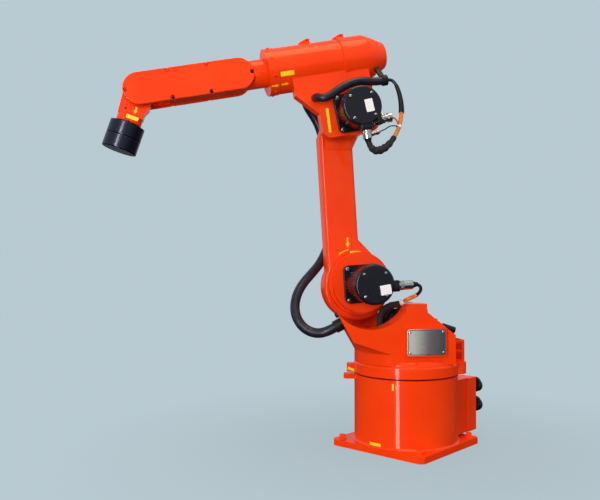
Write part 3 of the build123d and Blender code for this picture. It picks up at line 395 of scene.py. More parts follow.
# %% Rounded edges and paint on the castings
SLOT_FINISH = {
    "orange_enamel": enamel,
    "black_motor_paint": motor_paint,
    "black_oxide_steel": oxide_steel,
    "black_nylon": nylon,
    "black_conduit": jacket,
    "bare_steel": machined_steel,
    "nickel_plate": nickel,
    "brushed_plate": plate_metal,
}
EDGE_RADIUS = {"orange_enamel": 3.0, "black_motor_paint": 1.5, "brushed_plate": 0.5}
OTHER_RADIUS = 1.0
WELD_REACH = 1e-5
FLAT_ANGLE, EDGE_ANGLE = radians(0.8), radians(30)


def paint(piece, finish):
    piece.data.materials.clear()
    piece.data.materials.append(finish)


def soften(piece, radius):
    """Rounds the edges of a solid with live modifiers."""
    weld = piece.modifiers.new("weld", "WELD")
    weld.merge_threshold = WELD_REACH
    flat = piece.modifiers.new("flat", "DECIMATE")
    flat.decimate_type = "DISSOLVE"
    flat.angle_limit = FLAT_ANGLE
    edge = piece.modifiers.new("edge", "BEVEL")
    edge.width = radius * MM
    edge.segments = 3
    edge.limit_method = "ANGLE"
    edge.angle_limit = EDGE_ANGLE
    shade = piece.modifiers.new("shade", "WEIGHTED_NORMAL")
    shade.keep_sharp = False
    piece.data.polygons.foreach_set("use_smooth", [True] * len(piece.data.polygons))


for subpart in frame["record"]["subparts"]:
    piece = nodes[subpart["node"]]
    slot = subpart["material_slot"]
    paint(piece, SLOT_FINISH[slot])
    soften(piece, EDGE_RADIUS.get(slot, OTHER_RADIUS))
print("dressed", len(nodes), "solids")

# %% [markdown]
# ## Lines and tubes
#
# The cables inside the arm come out where a joint would pinch them, pass the joint in a hose, and go
# back in. Each hose follows one smooth NURBS line through the points of its route, and a circle carried
# along that line makes the tube.


# %% Lines and tubes
def smooth_line(name, points):
    """Points along a NURBS curve that has the route's points as its control points."""
    data = bpy.data.curves.new(name, "CURVE")
    data.dimensions = "3D"
    data.resolution_u = 10
    spline = data.splines.new("NURBS")
    spline.points.add(len(points) - 1)
    for point, place in zip(spline.points, points):
        point.co = (*place, 1.0)
    spline.order_u = 3
    spline.use_endpoint_u = True
    holder = bpy.data.objects.new(name, data)
    bpy.context.scene.collection.objects.link(holder)
    bpy.context.view_layer.update()
    mesh = bpy.data.meshes.new_from_object(holder.evaluated_get(bpy.context.evaluated_depsgraph_get()))
    line = [v.co.copy() for v in mesh.vertices]
    bpy.data.objects.remove(holder)
    bpy.data.curves.remove(data)
    bpy.data.meshes.remove(mesh)
    return line


def length_of(line):
    return sum((b - a).length for a, b in zip(line, line[1:]))


def nearest(line, point):
    return min(range(len(line)), key=lambda index: (line[index] - point).length)


def stretch(line, first, last):
    """The part of a line between its nearest points to two places."""
    return line[nearest(line, first) : nearest(line, last) + 1]


def tube_along(line, radii, sides=24):
    """Carries a circle along a line with the least twist and bridges each pair of rings."""
    shape = bmesh.new()
    rings = []
    heading = (line[1] - line[0]).normalized()
    side = heading.orthogonal().normalized()
    for index, (point, radius) in enumerate(zip(line, radii)):
        before = line[max(index - 1, 0)]
        after = line[min(index + 1, len(line) - 1)]
        heading = (after - before).normalized()
        side = (side - heading * side.dot(heading)).normalized()
        up = heading.cross(side)
        place = Matrix((side, up, heading)).transposed().to_4x4()
        place.translation = point
        ring = bmesh.ops.create_circle(shape, segments=sides, radius=radius * MM, matrix=place)["verts"]
        rings.append([shape.edges.get((ring[i], ring[(i + 1) % sides])) for i in range(sides)])
    for low, high in zip(rings, rings[1:]):
        bmesh.ops.bridge_loops(shape, edges=low + high)
    for ring in (rings[0], rings[-1]):
        bmesh.ops.contextual_create(shape, geom=ring)
    return shape


def even(line, radius):
    return [radius] * len(line)


axes = [at(place, 0, 0, 0) for place in (LOWER, ELBOW, WRIST)]
print("from the shoulder over the elbow to the wrist", round(length_of(axes), 3), "m")

# %% [markdown]
# ## From a shape to a piece
#
# A finished shape becomes an object whose place is in its mesh. It gets its finish, smooth shading with
# its sharp edges kept, and the body it rides on. A table gives each finish its slot in the model's own
# list; most follow from the finish, and the few others are named.

# %% Pieces
SLOT_OF = {finish: slot for slot, finish in SLOT_FINISH.items()}
SLOT_OF |= {zinc: "bare_steel", orange_sleeve: "black_conduit", cloth_tape: "black_conduit"}
SLOT_OF |= {blank_vinyl: "brushed_plate", yellow_vinyl: "brushed_plate"}
SHARP_ANGLE = radians(38)


def finish_piece(shape, name, finish, place=None):
    if place is not None:
        bmesh.ops.transform(shape, matrix=place, verts=shape.verts)
    bmesh.ops.recalc_face_normals(shape, faces=shape.faces)
    mesh = bpy.data.meshes.new(name)
    shape.to_mesh(mesh)
    shape.free()
    mesh.polygons.foreach_set("use_smooth", [True] * len(mesh.polygons))
    mesh.set_sharp_from_angle(angle=SHARP_ANGLE)
    mesh.materials.append(finish)
    piece = bpy.data.objects.new(name, mesh)
    bpy.context.scene.collection.objects.link(piece)
    return piece


def dress(shape, name, finish, body, place=None):
    """A finished piece that rides on a body."""
    piece = finish_piece(shape, name, finish, place)
    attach(piece, body)
    return piece


# %% [markdown]
# ## Routes of the hoses
#
# The hose at the shoulder hangs in a wide loop, so that the arm can swing from lying back to lying
# forward. It leaves a gland that stands square on the column's sloping front, and it goes up the far
# side of the lower arm to a second gland under the tube. The routes are the solid model's own, in the
# frame of whatever holds each end.

# %% Routes of the hoses
CONDUIT = 15.0
HOSE = 12.5
CONDUIT_X, CONDUIT_Y = 66, -93.0
TUBE_RADIUS = 71.0

CHIN_CORNER = Vector((182, -45, 75))
CHIN_ALONG, CHIN_UP = Vector((31, 180, 0)), Vector((54, 0, 95))
GLAND_NORMAL = CHIN_ALONG.cross(CHIN_UP).normalized()
GLAND_Y, GLAND_Z = 97, 130
gland_lean = CHIN_UP.x * (GLAND_Z - CHIN_CORNER.z) / CHIN_UP.z
gland_turn = CHIN_ALONG.x * (GLAND_Y - CHIN_CORNER.y) / CHIN_ALONG.y
GLAND_FOOT = Vector((CHIN_CORNER.x + gland_lean + gland_turn, GLAND_Y, GLAND_Z))

ELBOW_GLAND_X, ELBOW_GLAND_Y = 112, -44
TUBE_DROP = sqrt(TUBE_RADIUS**2 - ELBOW_GLAND_Y**2)
TUBE_OUT = Vector((0, ELBOW_GLAND_Y, -TUBE_DROP)) / TUBE_RADIUS
ELBOW_GLAND_FOOT = Vector((ELBOW_GLAND_X, ELBOW_GLAND_Y, TUBE_RISE - TUBE_DROP))


def beside_arm(*heights):
    """Points of the conduit where it lies straight along the lower arm."""
    return [at(LOWER, CONDUIT_X, CONDUIT_Y, height) for height in heights]


loop_bend = [(314, 70, 367), (346, 51, 381), (366, 33, 411), (369, 12, 446), (357, -8, 484),
             (333, -30, 517), (300, -55, 547), (268, -81, 576), (245, -93, 612)]
loop_route = [at(COLUMN, *(GLAND_FOOT + GLAND_NORMAL * reach)) for reach in (26, 52)]
loop_route += all_at(ARM, loop_bend) + beside_arm(140, 172)
run_route = beside_arm(196, 262, 328, 395)
elbow_loop_route = beside_arm(419, 459)
elbow_loop_route += all_at(ARM, [(256, -95, 1010), (272, -97, 1052), (297, -91, 1084)])
elbow_loop_route += [at(ELBOW, *(ELBOW_GLAND_FOOT + TUBE_OUT * reach)) for reach in (50, 18)]
hose_route = all_at(
    ELBOW,
    [(113, 58, 62), (113, 76, 62), (108, 93, 54), (92, 101, 49), (70, 101, 57), (40, 100, 72),
     (2, 98, 84), (-38, 95, 85), (-72, 92, 76), (-98, 92, 76)],
)
print("points on the shoulder loop", len(loop_route))

# %% [markdown]
# ## The hoses themselves
#
# Each cord's length is printed. A hose that crosses a joint is baked in place between its two bodies,
# and one that crosses none rides on its body. What sits on a lead, such as its sleeve, tape or tie, is a
# piece of its own and is named with the lead.


# %% Hoses
def lay_cord(name, route, radius, bodies, node=None,
             finish=jacket, sides=24):
    """A cord made along its route, with the solid's node that it replaces hidden. One on one body rides on
    it, and one between two bodies is baked in place."""
    line = smooth_line(name + "_line", route)
    piece = finish_piece(tube_along(line, even(line, radius), sides), name, finish)
    if len(bodies) == 2:
        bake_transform(piece)
    else:
        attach(piece, bodies[0])
    if node:
        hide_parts(node)
    print(name, "length", round(length_of(line), 3))


lay_cord("conduit_loop_hose", loop_route, CONDUIT, ("column", "lower_arm"),
         node="conduit_loop")
lay_cord("conduit_run_hose", run_route, CONDUIT, ("lower_arm",), node="conduit_run")
lay_cord("conduit_elbow_hose", elbow_loop_route, CONDUIT, ("lower_arm", "elbow"),
         node="conduit_elbow_loop")
lay_cord("motor_hose", hose_route, HOSE, ("elbow",), node="elbow_hose")

# %% [markdown]
# ## Tools for small parts
#
# Screws, rings, boots and labels are what tells a machine from a toy. Round ones are half sections spun
# about an axis, as on a lathe, and flat ones are outlines that get a thickness.


# %% Tools for small parts
def verts_of(geometry):
    return [part for part in geometry if isinstance(part, bmesh.types.BMVert)]


def swing(shape, parts, steps, angle, whole=False):
    """Sweeps points and edges about the z axis."""
    bmesh.ops.spin(shape, geom=parts, axis=UP, cent=(0, 0, 0), steps=steps, angle=angle, use_merge=whole)


def turned(profile, steps=24, closed=False):
    """Spins a half section, given as pairs of radius and height in millimetres."""
    shape = bmesh.new()
    verts = [shape.verts.new((radius * MM, 0, height * MM)) for radius, height in profile]
    pairs = list(zip(verts, verts[1:])) + ([(verts[-1], verts[0])] if closed else [])
    swing(shape, verts + [shape.edges.new(pair) for pair in pairs], steps, 2 * pi, whole=True)
    bmesh.ops.remove_doubles(shape, verts=shape.verts, dist=1e-6)
    return shape


def soft_corner(shape, parts, radius, steps, kind):
    bmesh.ops.bevel(shape, geom=parts, offset=radius * MM, segments=steps, profile=0.5, affect=kind,
                    material=-1)


def thicken(shape, thickness, rim=0.0):
    """Raises a flat face into a plate and softens its upper rim."""
    made = bmesh.ops.extrude_face_region(shape, geom=shape.faces[:], use_keep_orig=True)["geom"]
    bmesh.ops.translate(shape, verts=verts_of(made), vec=(0, 0, thickness * MM))
    if rim:
        lid = [part for part in made if isinstance(part, bmesh.types.BMFace)][0]
        soft_corner(shape, lid.edges[:], rim, 2, "EDGES")
    return shape


def rounded(width, height, corner):
    """A flat rectangle with round corners."""
    shape = bmesh.new()
    bmesh.ops.create_grid(shape, x_segments=1, y_segments=1, size=0.5)
    bmesh.ops.scale(shape, vec=(width * MM, height * MM, 1), verts=shape.verts)
    soft_corner(shape, shape.verts[:], corner, 4, "VERTICES")
    return shape


def plate(width, height, thickness, corner, rim=0.0):
    return thicken(rounded(width, height, corner), thickness, rim)


def disc(radius, sides):
    """A flat, filled circle."""
    shape = bmesh.new()
    bmesh.ops.create_circle(shape, cap_ends=True, segments=sides, radius=radius * MM)
    return shape


print("corners of a rounded plate", len(rounded(20, 10, 2).verts))

# %% [markdown]
# ## Seats
#
# Each small part is drawn once, standing on its own z axis, and then set on a seat: a place on a surface
# with a way out of it. Where the same part is needed again, it is made again on each of its seats.


# %% Seats
def facing(place, point, out, along=FRONT):
    """A seat: its z looks out of the surface and its x runs along it."""
    z = Vector(out).normalized()
    x = (Vector(along) - z * Vector(along).dot(z)).normalized()
    seat = Matrix((x, z.cross(x), z)).transposed().to_4x4()
    seat.translation = Vector(point) * MM
    return place @ seat


def seats_on(place, points, out, along=FRONT):
    """The same seat on several points of one face."""
    return [facing(place, point, out, along) for point in points]


def ring_of(place, centre, out, along, radius, count, first=0.0):
    """Seats at equal angles on a circle about an axis."""
    axis = facing(place, centre, out, along)
    return [axis @ turn(first + 360 * i / count, "Z") @ shift(radius, 0, 0) for i in range(count)]


def corners(half):
    """The corners of a square."""
    return [(first, second) for first in (-half, half) for second in (-half, half)]


def merge(shape, other, place):
    """Adds a second shape to a first one at a place."""
    bmesh.ops.transform(other, matrix=place, verts=other.verts)
    copy = bpy.data.meshes.new("copy")
    other.to_mesh(copy)
    other.free()
    shape.from_mesh(copy)
    bpy.data.meshes.remove(copy)
    return shape


def row_of(make, seats):
    """One part made again on each seat, joined in one shape."""
    shape = bmesh.new()
    for seat in seats:
        merge(shape, make(), seat)
    return shape


print("seats at the corners of a square", corners(1))

# %% [markdown]
# ## Screws and rings
#
# All parts of a screw follow from its head's radius. A cap screw is a disc with a soft rim, and a socket
# is sunk below the inset middle of its top, which stays as a lid over it. A bolt is a hexagon on a
# washer, and a coupling ring is a circle with every other point pulled in before it is raised.


# %% Screws and rings
def socket_screw(radius):
    shape = thicken(disc(radius, 18), 0.8 * radius, 0.14 * radius)
    lid = max(shape.faces, key=lambda face: face.calc_center_median().z)
    bmesh.ops.inset_individual(shape, faces=[lid], thickness=0.42 * radius * MM)
    sunk = bmesh.ops.extrude_face_region(shape, geom=[lid])["geom"]
    bmesh.ops.translate(shape, verts=verts_of(sunk), vec=(0, 0, -0.45 * radius * MM))
    return shape


def hex_bolt(radius):
    washer = [(0, 0), (1.5, 0), (1.5, 0.2), (1.4, 0.27), (0, 0.27)]
    shape = turned([(across * radius, height * radius) for across, height in washer])
    head = thicken(disc(1.1 * radius, 6), 1.1 * radius, 0.12 * radius)
    return merge(shape, head, shift(0, 0, 0.25 * radius))


def ribbed_ring(radius, length, ribs):
    shape = disc(radius, 2 * ribs)
    bmesh.ops.scale(shape, vec=(0.93, 0.93, 1), verts=list(shape.verts)[::2])
    return thicken(shape, length, 0.5)


print("faces in a screw head", len(socket_screw(5).faces))

# %% [markdown]
# ## The elbow motor's lead
#
# The lead leaves the hose in a dark shrink tube that widens as it goes down, shows a short orange
# braided sleeve with a white tie on it, and ends as a bundle under cloth tape, lumpy because the splices
# lie inside it. The lumps are only a radius that changes along the line.

# %% The elbow motor's lead
LEAD = 5.0
SLEEVE = 6.4
TIE_RADIUS, TIE_WIDTH = 8.6, 7
LEAD_KNOT = at(ELBOW, -115, 117, -75)
motor_lead_route = all_at(
    ELBOW,
    [(-114, 92, 76), (-128, 92, 76), (-139, 95, 60), (-143, 100, 30), (-140, 106, -10),
     (-130, 112, -46), (-112, 118, -80), (-88, 124, -109), (-60, 131, -130), (-32, 138, -140),
     (-9, 142, -136), (0, 143, -111), (0, 143, -99)],
)


def cover(name, line, radii, finish):
    return dress(tube_along(line, radii, sides=20), name, finish, "elbow")


def tie_on(name, line, spot, radius, width, body):
    """A white cable tie: a band about the lead with its square lock standing off one side."""
    middle = nearest(line, spot)
    way = (line[middle + 1] - line[middle - 1]).normalized()
    inner, half = radius - 2, width / 2
    shape = turned([(inner, -half), (radius, -half), (radius, half), (inner, half)], closed=True)
    merge(shape, plate(width * 1.3, width * 1.2, 4, 0.8), shift(radius - 1, 0, 0) @ turn(90, "Y"))
    seat = facing(BASE, line[middle] / MM, way, way.orthogonal())
    return dress(shape, name, blank_vinyl, body, seat)


lead_line = smooth_line("motor_lead_guide", motor_lead_route)
cuts = all_at(ELBOW, [(-141, 96, 56), (-134, 110, -33), (-92, 123, -105), (0, 143, -112)])
shrink_line, sleeve_line, tape_line = [stretch(lead_line, *pair) for pair in zip(cuts, cuts[1:])]
widening = [6 + 3 * i / len(shrink_line) for i in range(len(shrink_line))]
count = len(tape_line)
lumps = [7.5 + 4.5 * sin(pi * i / count) + 0.9 * sin(i * 0.9) for i in range(count)]
on_motor_lead = [
    cover("motor_lead_shrink_tube", shrink_line, widening, nylon),
    cover("motor_lead_sleeve", sleeve_line, even(sleeve_line, SLEEVE), orange_sleeve),
    cover("motor_lead_tape", tape_line, lumps, cloth_tape),
    tie_on("motor_lead_tie", lead_line, LEAD_KNOT, TIE_RADIUS, TIE_WIDTH, "elbow"),
]
lay_cord("motor_lead_cable", motor_lead_route, LEAD, ("elbow",), node="motor_lead")

# %% [markdown]
# ## Thin wires
#
# Two wires only a few millimetres thick join the bundle at its tie. One starts in the rear plug, and the
# other in the fitting beside the lower plug.

# %% Thin wires
REAR_WIRE, BRAKE_WIRE = 2.6, 1.8
rear_wire_route = all_at(ELBOW, [(-84, 143, -47), (-97, 142, -50), (-108, 130, -64)]) + [LEAD_KNOT]
brake_wire_route = all_at(ELBOW, [(-42, 150, -84), (-56, 152, -81), (-76, 142, -72), (-98, 127, -72)])
brake_wire_route += [LEAD_KNOT]
lay_cord("rear_plug_wire", rear_wire_route, REAR_WIRE, ("elbow",), finish=orange_sleeve, sides=12)
lay_cord("brake_wire", brake_wire_route, BRAKE_WIRE, ("elbow",), sides=12)

# %% [markdown]
# ## The shoulder's lead and its harness
#
# The shoulder motor's lead goes down into the column with a short sleeve and a white in-line connector
# on it. A thick, taped harness goes down beside it. The lead crosses the shoulder joint, so it, what sits
# on it and the harness are all baked in place between the same two bodies.

# %% The shoulder's lead and its harness
HARNESS = 10.2
PLUG_Y, PLUG_Z = 157, -8
SHOULDER_BODIES = ("lower_arm", "column")
shoulder_lead_route = [at(LOWER, x, PLUG_Y, PLUG_Z) for x in (-119, -139)]
shoulder_lead_route += all_at(
    ARM,
    [(4, 150, 506), (8, 136, 488), (26, 118, 476), (44, 98, 464), (63, 77, 450), (79, 57, 430),
     (87, 42, 406), (87, 37, 388), (87, 37, 372)],
)
shoulder_line = smooth_line("shoulder_lead_guide", shoulder_lead_route)
for name, first, last, radius, finish, slot in (
    ("shoulder_lead_sleeve", (10, 132, 485), (40, 102, 467), SLEEVE, orange_sleeve, "black_conduit"),
    ("shoulder_lead_connector", (42, 100, 465), (66, 73, 447), 9.0, blank_vinyl, "black_nylon"),
):
    line = stretch(shoulder_line, at(ARM, *first), at(ARM, *last))
    piece = finish_piece(tube_along(line, even(line, radius), sides=16), name, finish)
    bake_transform(piece)
lay_cord("shoulder_lead_cable", shoulder_lead_route, LEAD, SHOULDER_BODIES, node="shoulder_lead")

harness_route = all_at(
    ARM,
    [(50, 92, 457), (71, 78, 452), (91, 65, 443), (102, 55, 424), (104, 51, 402), (103, 49, 386),
     (103, 49, 373)],
)
lay_cord("shoulder_harness", harness_route, HARNESS, SHOULDER_BODIES, finish=cloth_tape)

# %% [markdown]
# ## Plug blocks, boots and coupling rings
#
# Each motor lead ends in a nickel-plated shell on a black socket block. A tapered rubber boot keeps the
# lead from kinking where it enters, and ribbed rings lock the shells and the mains connectors.

# %% Plugs
BOOT = [(0, 0), (10.5, 0), (10.5, 5), (9, 7), (9, 10), (8, 11), (8, 15), (7, 16), (6.2, 26), (0, 26)]
SIDE_FITTING = [(0, 0), (7, 0), (7, 9), (6, 10), (6, 16), (7.5, 17), (7.5, 25), (5, 27), (3, 32),
                (0, 32)]
SHELL, MAINS_SHELL = 14.4, 21.6
SHORTENED = Matrix.Diagonal((1, 1, 0.7, 1))
ELBOW_PLUG_Y, REAR_PLUG_Z = 143, -47


def shoulder_plug(x):
    """A seat on the line of the shoulder motor's plug, which looks back."""
    return facing(LOWER, (x, PLUG_Y, PLUG_Z), BACK, UP)


def elbow_plug(z):
    """A seat on the line of the elbow motor's lower plug, which looks down."""
    return facing(ELBOW, (0, ELBOW_PLUG_Y, z), DOWN)


def rear_plug(x):
    """A seat on the line of the elbow motor's second plug, which looks back."""
    return facing(ELBOW, (x, ELBOW_PLUG_Y, REAR_PLUG_Z), BACK, UP)


mains = [facing(BASE, (-266, 98, z), BACK, UP) for z in (172, 107)]
plug_parts = [
    dress(turned(BOOT), "shoulder_plug_boot", nylon, "lower_arm", shoulder_plug(-119) @ SHORTENED),
    dress(turned(BOOT), "elbow_plug_boot", nylon, "elbow", elbow_plug(-99)),
]
for name, finish, body, seats, make in (
    ("shoulder_socket_block", motor_paint, "lower_arm", [shoulder_plug(-57)],
     lambda: plate(34, 30, 18, 4, 1.5)),
    ("elbow_socket_blocks", motor_paint, "elbow", [elbow_plug(-57), rear_plug(-36)],
     lambda: plate(34, 30, 16, 4, 1.5)),
    ("shoulder_plug_ring", nickel, "lower_arm", [shoulder_plug(-80)],
     lambda: ribbed_ring(SHELL, 9, 20)),
    ("elbow_plug_rings", nickel, "elbow", [elbow_plug(-76), rear_plug(-56)],
     lambda: ribbed_ring(SHELL, 8, 20)),
    ("mains_connector_rings", nylon, "base", mains, lambda: ribbed_ring(MAINS_SHELL, 15, 28)),
):
    plug_parts.append(dress(row_of(make, seats), name, finish, body))
fitting_seat = facing(ELBOW, (-10, 148, -88), (-1, 0.06, 0.12), UP)
plug_parts.append(dress(turned(SIDE_FITTING), "elbow_side_fitting", nickel, "elbow", fitting_seat))
print("plug parts", len(plug_parts))

# %% [markdown]
# ## The rounded foot of the column
#
# Where the column stands on its flange, the casting runs out in a soft, convex shoulder that carries a
# bright line of light all the way round. It is a half section spun about the swivel axis.

# %% Column foot
FOOT = [(138, -4), (158, -4), (157.5, 2), (155.5, 7), (152, 11), (147, 13.5), (138, 15)]
dress(turned(FOOT, 96, closed=True), "column_foot", enamel, "column", COLUMN)
print("column foot", max(across for across, height in FOOT), "mm in radius")

# %% [markdown]
# ## The pad below the elbow
#
# The lower arm carries a low machined pad under the elbow, where a stop can be bolted on. It is only a
# rounded plate, but its edge draws a line across the plain side of the arm.

# %% Stop pad
ARM_FACE = -12
PAD_THICKNESS = 3
pad_seat = facing(LOWER, (35, ARM_FACE, 451), NEAR, BACK)
pad = dress(plate(84, 43, PAD_THICKNESS, 5, 1.2), "lower_arm_pad", enamel, "lower_arm", pad_seat)
print("pad", len(pad.data.polygons), "faces")

# %% [markdown]
# ## Screws and bolts
#
# Screws that hold painted castings were sprayed over with them, and so were three of the six on each of
# the forearm's covers. The other three on each cover are black as painted shade, for the shadow in their
# notches. Those of the wrist were put in later and are black. The motors' screws are bare zinc, which is
# why they sparkle against the black paint.


# %% Screws and bolts
def screws(name, seats, radius, finish, body, make=socket_screw):
    dress(row_of(lambda: make(radius), seats), name, finish, body)
    print(name, len(seats))


FOOT_TOP, DECK_TOP, BOX_FACE = 20, 114, -232
FLANGE_CIRCLE, FLANGE_TOP = 153, 7
SWIVEL_MOTOR_X = 16
SHOULDER_CAP, ELBOW_CAP = 172, 158
COLLAR_X, COLLAR_RADIUS = 224, 72
COVER_FACE = 44
box = [(BOX_FACE, y, z) for y, z in ((-112, 44), (-112, 188), (112, 44), (40, 188))]
flange_angles = [radians(angle) for angle in (52, 82, 127, -52, -82, -127)]
flange = [(FLANGE_CIRCLE * cos(angle), FLANGE_CIRCLE * sin(angle), FLANGE_TOP) for angle in flange_angles]
foot = [(x, y, FOOT_TOP) for x, y in corners(145)]
deck = [(SWIVEL_MOTOR_X + x, y, DECK_TOP) for x, y in corners(48)]
screws("foot_bolts", seats_on(BASE, foot, UP), 10, enamel, "base", hex_bolt)
screws("box_screws", seats_on(BASE, box, BACK, UP), 4.5, enamel, "base")
screws("column_flange_screws", seats_on(COLUMN, flange, UP), 5.5, enamel, "column")
screws("swivel_motor_screws", seats_on(COLUMN, deck, UP), 5, zinc, "column")
for motor, body, place, flange_face, cap_face in (
    ("shoulder", "lower_arm", LOWER, 47, SHOULDER_CAP),
    ("elbow", "elbow", ELBOW, 72, ELBOW_CAP),
):
    on_flange = [(x, flange_face, z) for x, z in corners(49)]
    screws(f"{motor}_flange_screws", seats_on(place, on_flange, NEAR), 6, zinc, body)
    on_cap = ring_of(place, (0, cap_face, 0), NEAR, FRONT, radius=47, count=4, first=45)
    screws(f"{motor}_cap_screws", on_cap, 4.2, zinc, body)
around = [(cos(radians(angle)), sin(radians(angle))) for angle in range(22, 382, 45)]
collar = [
    facing(FOREARM, (COLLAR_X, COLLAR_RADIUS * y, COLLAR_RADIUS * z), (0, y, z)) for y, z in around
]
screws("collar_screws", collar, 4.2, enamel, "elbow")
wrist = [facing(WRIST, (97, 37.1, 8), (0, 37.1, 8))]
wrist += seats_on(WRIST, [(100, 38, 0), (64.5, 22, 20)], NEAR)
screws("wrist_screws", wrist, 2.8, oxide_steel, "wrist")
# The black set is painted shade: the covers' screws are alike, and black stands for their shaded notches.
for name, finish, spots in (
    ("cover_screws", oxide_steel, [(421.5, -42), (538.5, -42), (288, 0)]),
    ("painted_cover_screws", enamel, [(421.5, 42), (538.5, 42), (672, 0)]),
):
    seats = [facing(FOREARM, (x, side * COVER_FACE, z), (0, side, 0)) for x, z in spots for side in (-1, 1)]
    screws(name, seats, 4.6, finish, "forearm")

# %% [markdown]
# ## Blank labels, marks and arrows
#
# The labels and marks are thin vinyl, so they follow the surface: a flat strip is a rounded plate, and
# one on a tube or drum is an edge spun about that tube's axis.

# %% Vinyl shapes
VINYL = 0.4


def sticker(width, height, corner=1):
    return plate(width, height, VINYL, corner)


def arrow(length, width):
    neck, half = length * 0.55, width / 2
    outline = [(0, -half / 2.4), (neck, -half / 2.4), (neck, -half), (length, 0), (neck, half),
               (neck, half / 2.4), (0, half / 2.4)]
    shape = bmesh.new()
    shape.faces.new([shape.verts.new((x * MM, y * MM, 0)) for x, y in outline])
    return thicken(shape, VINYL)


def band(radius, low, high, sweep):
    """A strip bent round an axis: an edge spun through an angle and given a thickness."""
    shape = bmesh.new()
    ends = [shape.verts.new(((radius + 0.5) * MM, 0, height * MM)) for height in (low, high)]
    swing(shape, ends + [shape.edges.new(ends)], 10, radians(sweep))
    bmesh.ops.solidify(shape, geom=shape.faces[:], thickness=VINYL * MM)
    return shape


def arc_strip(radius, width, first, last):
    """A flat strip bent in its own plane: an edge spun about the axis that stands on the plane."""
    shape = bmesh.new()
    ends = [shape.verts.new((reach * MM, 0, 0)) for reach in (radius - width / 2, radius + width / 2)]
    bmesh.ops.transform(shape, matrix=turn(first, "Z"), verts=ends)
    swing(shape, ends + [shape.edges.new(ends)], 8, radians(last - first))
    return thicken(shape, VINYL)


print("faces of an arrow", len(arrow(20, 12).faces))

# %% [markdown]
# ## Labels and marks in their places
#
# The motors carry a white label, left blank here, and short yellow strips and arrows mark the zero
# position of each joint.

# %% Labels and marks
DRUM_RADIUS = 165


def on_arm(x, z, along):
    """A seat on the plain side of the lower arm."""
    return facing(LOWER, (x, ARM_FACE, z), NEAR, along)


shoulder_label = facing(LOWER, (-31, SHOULDER_CAP, -17), NEAR, (-1, 0, 0.1))
elbow_label = facing(ELBOW, (-20, ELBOW_CAP, -3), NEAR, (-1, 0, 0.04))
dress(sticker(34, 29, 1.5), "shoulder_motor_label", blank_vinyl, "lower_arm", shoulder_label)
dress(sticker(25, 38, 1.5), "elbow_motor_label", blank_vinyl, "elbow", elbow_label)
lug_seat = COLUMN @ turn(-11, "Z") @ facing(BASE, (178, 13, -28), NEAR, (-1, 0, -0.35))
TUBE_AXIS = facing(FOREARM, (0, 0, 0), FRONT, NEAR)
tube_arrow_seats = [
    TUBE_AXIS @ turn(-48, "Z") @ facing(BASE, (TUBE_RADIUS + lift, 0, x), FRONT, DOWN)
    for x, lift in ((206, 0.3), (238, 1.8))
]
marks = [
    ("drum_mark", "base", band(DRUM_RADIUS, 198, 218, 1.8), turn(19.5, "Z")),
    ("drum_strip", "base", band(DRUM_RADIUS, 25, 34, 14), turn(-7.5, "Z")),
    ("column_lug_mark", "column", sticker(22, 8), lug_seat),
    ("web_strip", "elbow", sticker(75, 8.5), facing(ELBOW, (84.5, 58, -12), NEAR, (5, 0, -75))),
    ("tube_strip", "elbow", band(TUBE_RADIUS, 164, 207, 11), TUBE_AXIS @ turn(-27, "Z")),
    ("tube_arrow_1", "elbow", arrow(24, 11), tube_arrow_seats[0]),
    ("tube_arrow_2", "elbow", arrow(24, 11), tube_arrow_seats[1]),
    ("lower_arm_arrow", "lower_arm", arrow(33, 13), on_arm(26, 148, DOWN)),
    ("lower_arm_strip", "lower_arm", sticker(34, 7), on_arm(3, 100, (1, 0, 0.05))),
    ("lower_arm_curve", "lower_arm", arc_strip(112, 3, 13, 31), on_arm(0, 0, UP)),
    ("wrist_strip", "wrist", sticker(36, 11), facing(WRIST, (87.5, 38, -9), NEAR, UP)),
    ("wrist_arrow", "wrist", arrow(20, 12), facing(WRIST, (51, 22, -10), NEAR)),
]
for name, body, shape, seat in marks:
    dress(shape, name, yellow_vinyl, body, seat)
print("yellow marks", len(marks))

# %% [markdown]
# ## Border and rivets of the rating plate
#
# The bare plate gets a raised border and four rivets. The border is a rounded rectangle, inset, with its
# middle taken out.

# %% Rating plate
RIVET = [(0, 0), (3.4, 0), (3.2, 1.2), (2, 2), (0, 2.3)]
RATING = facing(COLUMN, PLATE_CENTRE, NEAR, BACK)


def border(width, height, corner, line, thickness):
    shape = rounded(width, height, corner)
    middle = shape.faces[:]
    bmesh.ops.inset_individual(shape, faces=middle, thickness=line * MM)
    bmesh.ops.delete(shape, geom=middle, context="FACES")
    return thicken(shape, thickness)


rivet_seats = [RATING @ shift(x, y, 0) for x in (-53, 53) for y in (-31, 31)]
dress(border(120, 76, 7, 2.2, 0.5), "rating_plate_border", nickel, "column", RATING)
dress(row_of(lambda: turned(RIVET, 16), rivet_seats), "rating_plate_rivets", zinc, "column")
print("rivets", len(rivet_seats))

# %% [markdown]
# ## Floor
#
# The arm stands in a pale, cool grey studio without a visible horizon: to the camera the floor glows in
# the background's own colour. Near the arm's foot a part of it stays matte and takes the soft shadow.
# Reflections look past the floor, so that the drum can mirror a lamp that reaches below floor level.

# %% Floor
STUDIO = "b9cad2"
floor_shape = bmesh.new()
bmesh.ops.create_grid(floor_shape, x_segments=1, y_segments=1, size=12)


def looked_at(tree):
    """One where the camera, a reflection or a clear part looks, nought where only light arrives."""
    rays = add(tree, "ShaderNodeLightPath")
    larger = {"operation": "MAXIMUM"}
    seen = add(tree, "ShaderNodeMath", larger, {0: (rays, "Is Camera Ray"), 1: (rays, "Is Glossy Ray")})
    return add(tree, "ShaderNodeMath", larger, {0: (seen, "Value"), 1: (rays, "Is Transmission Ray")})


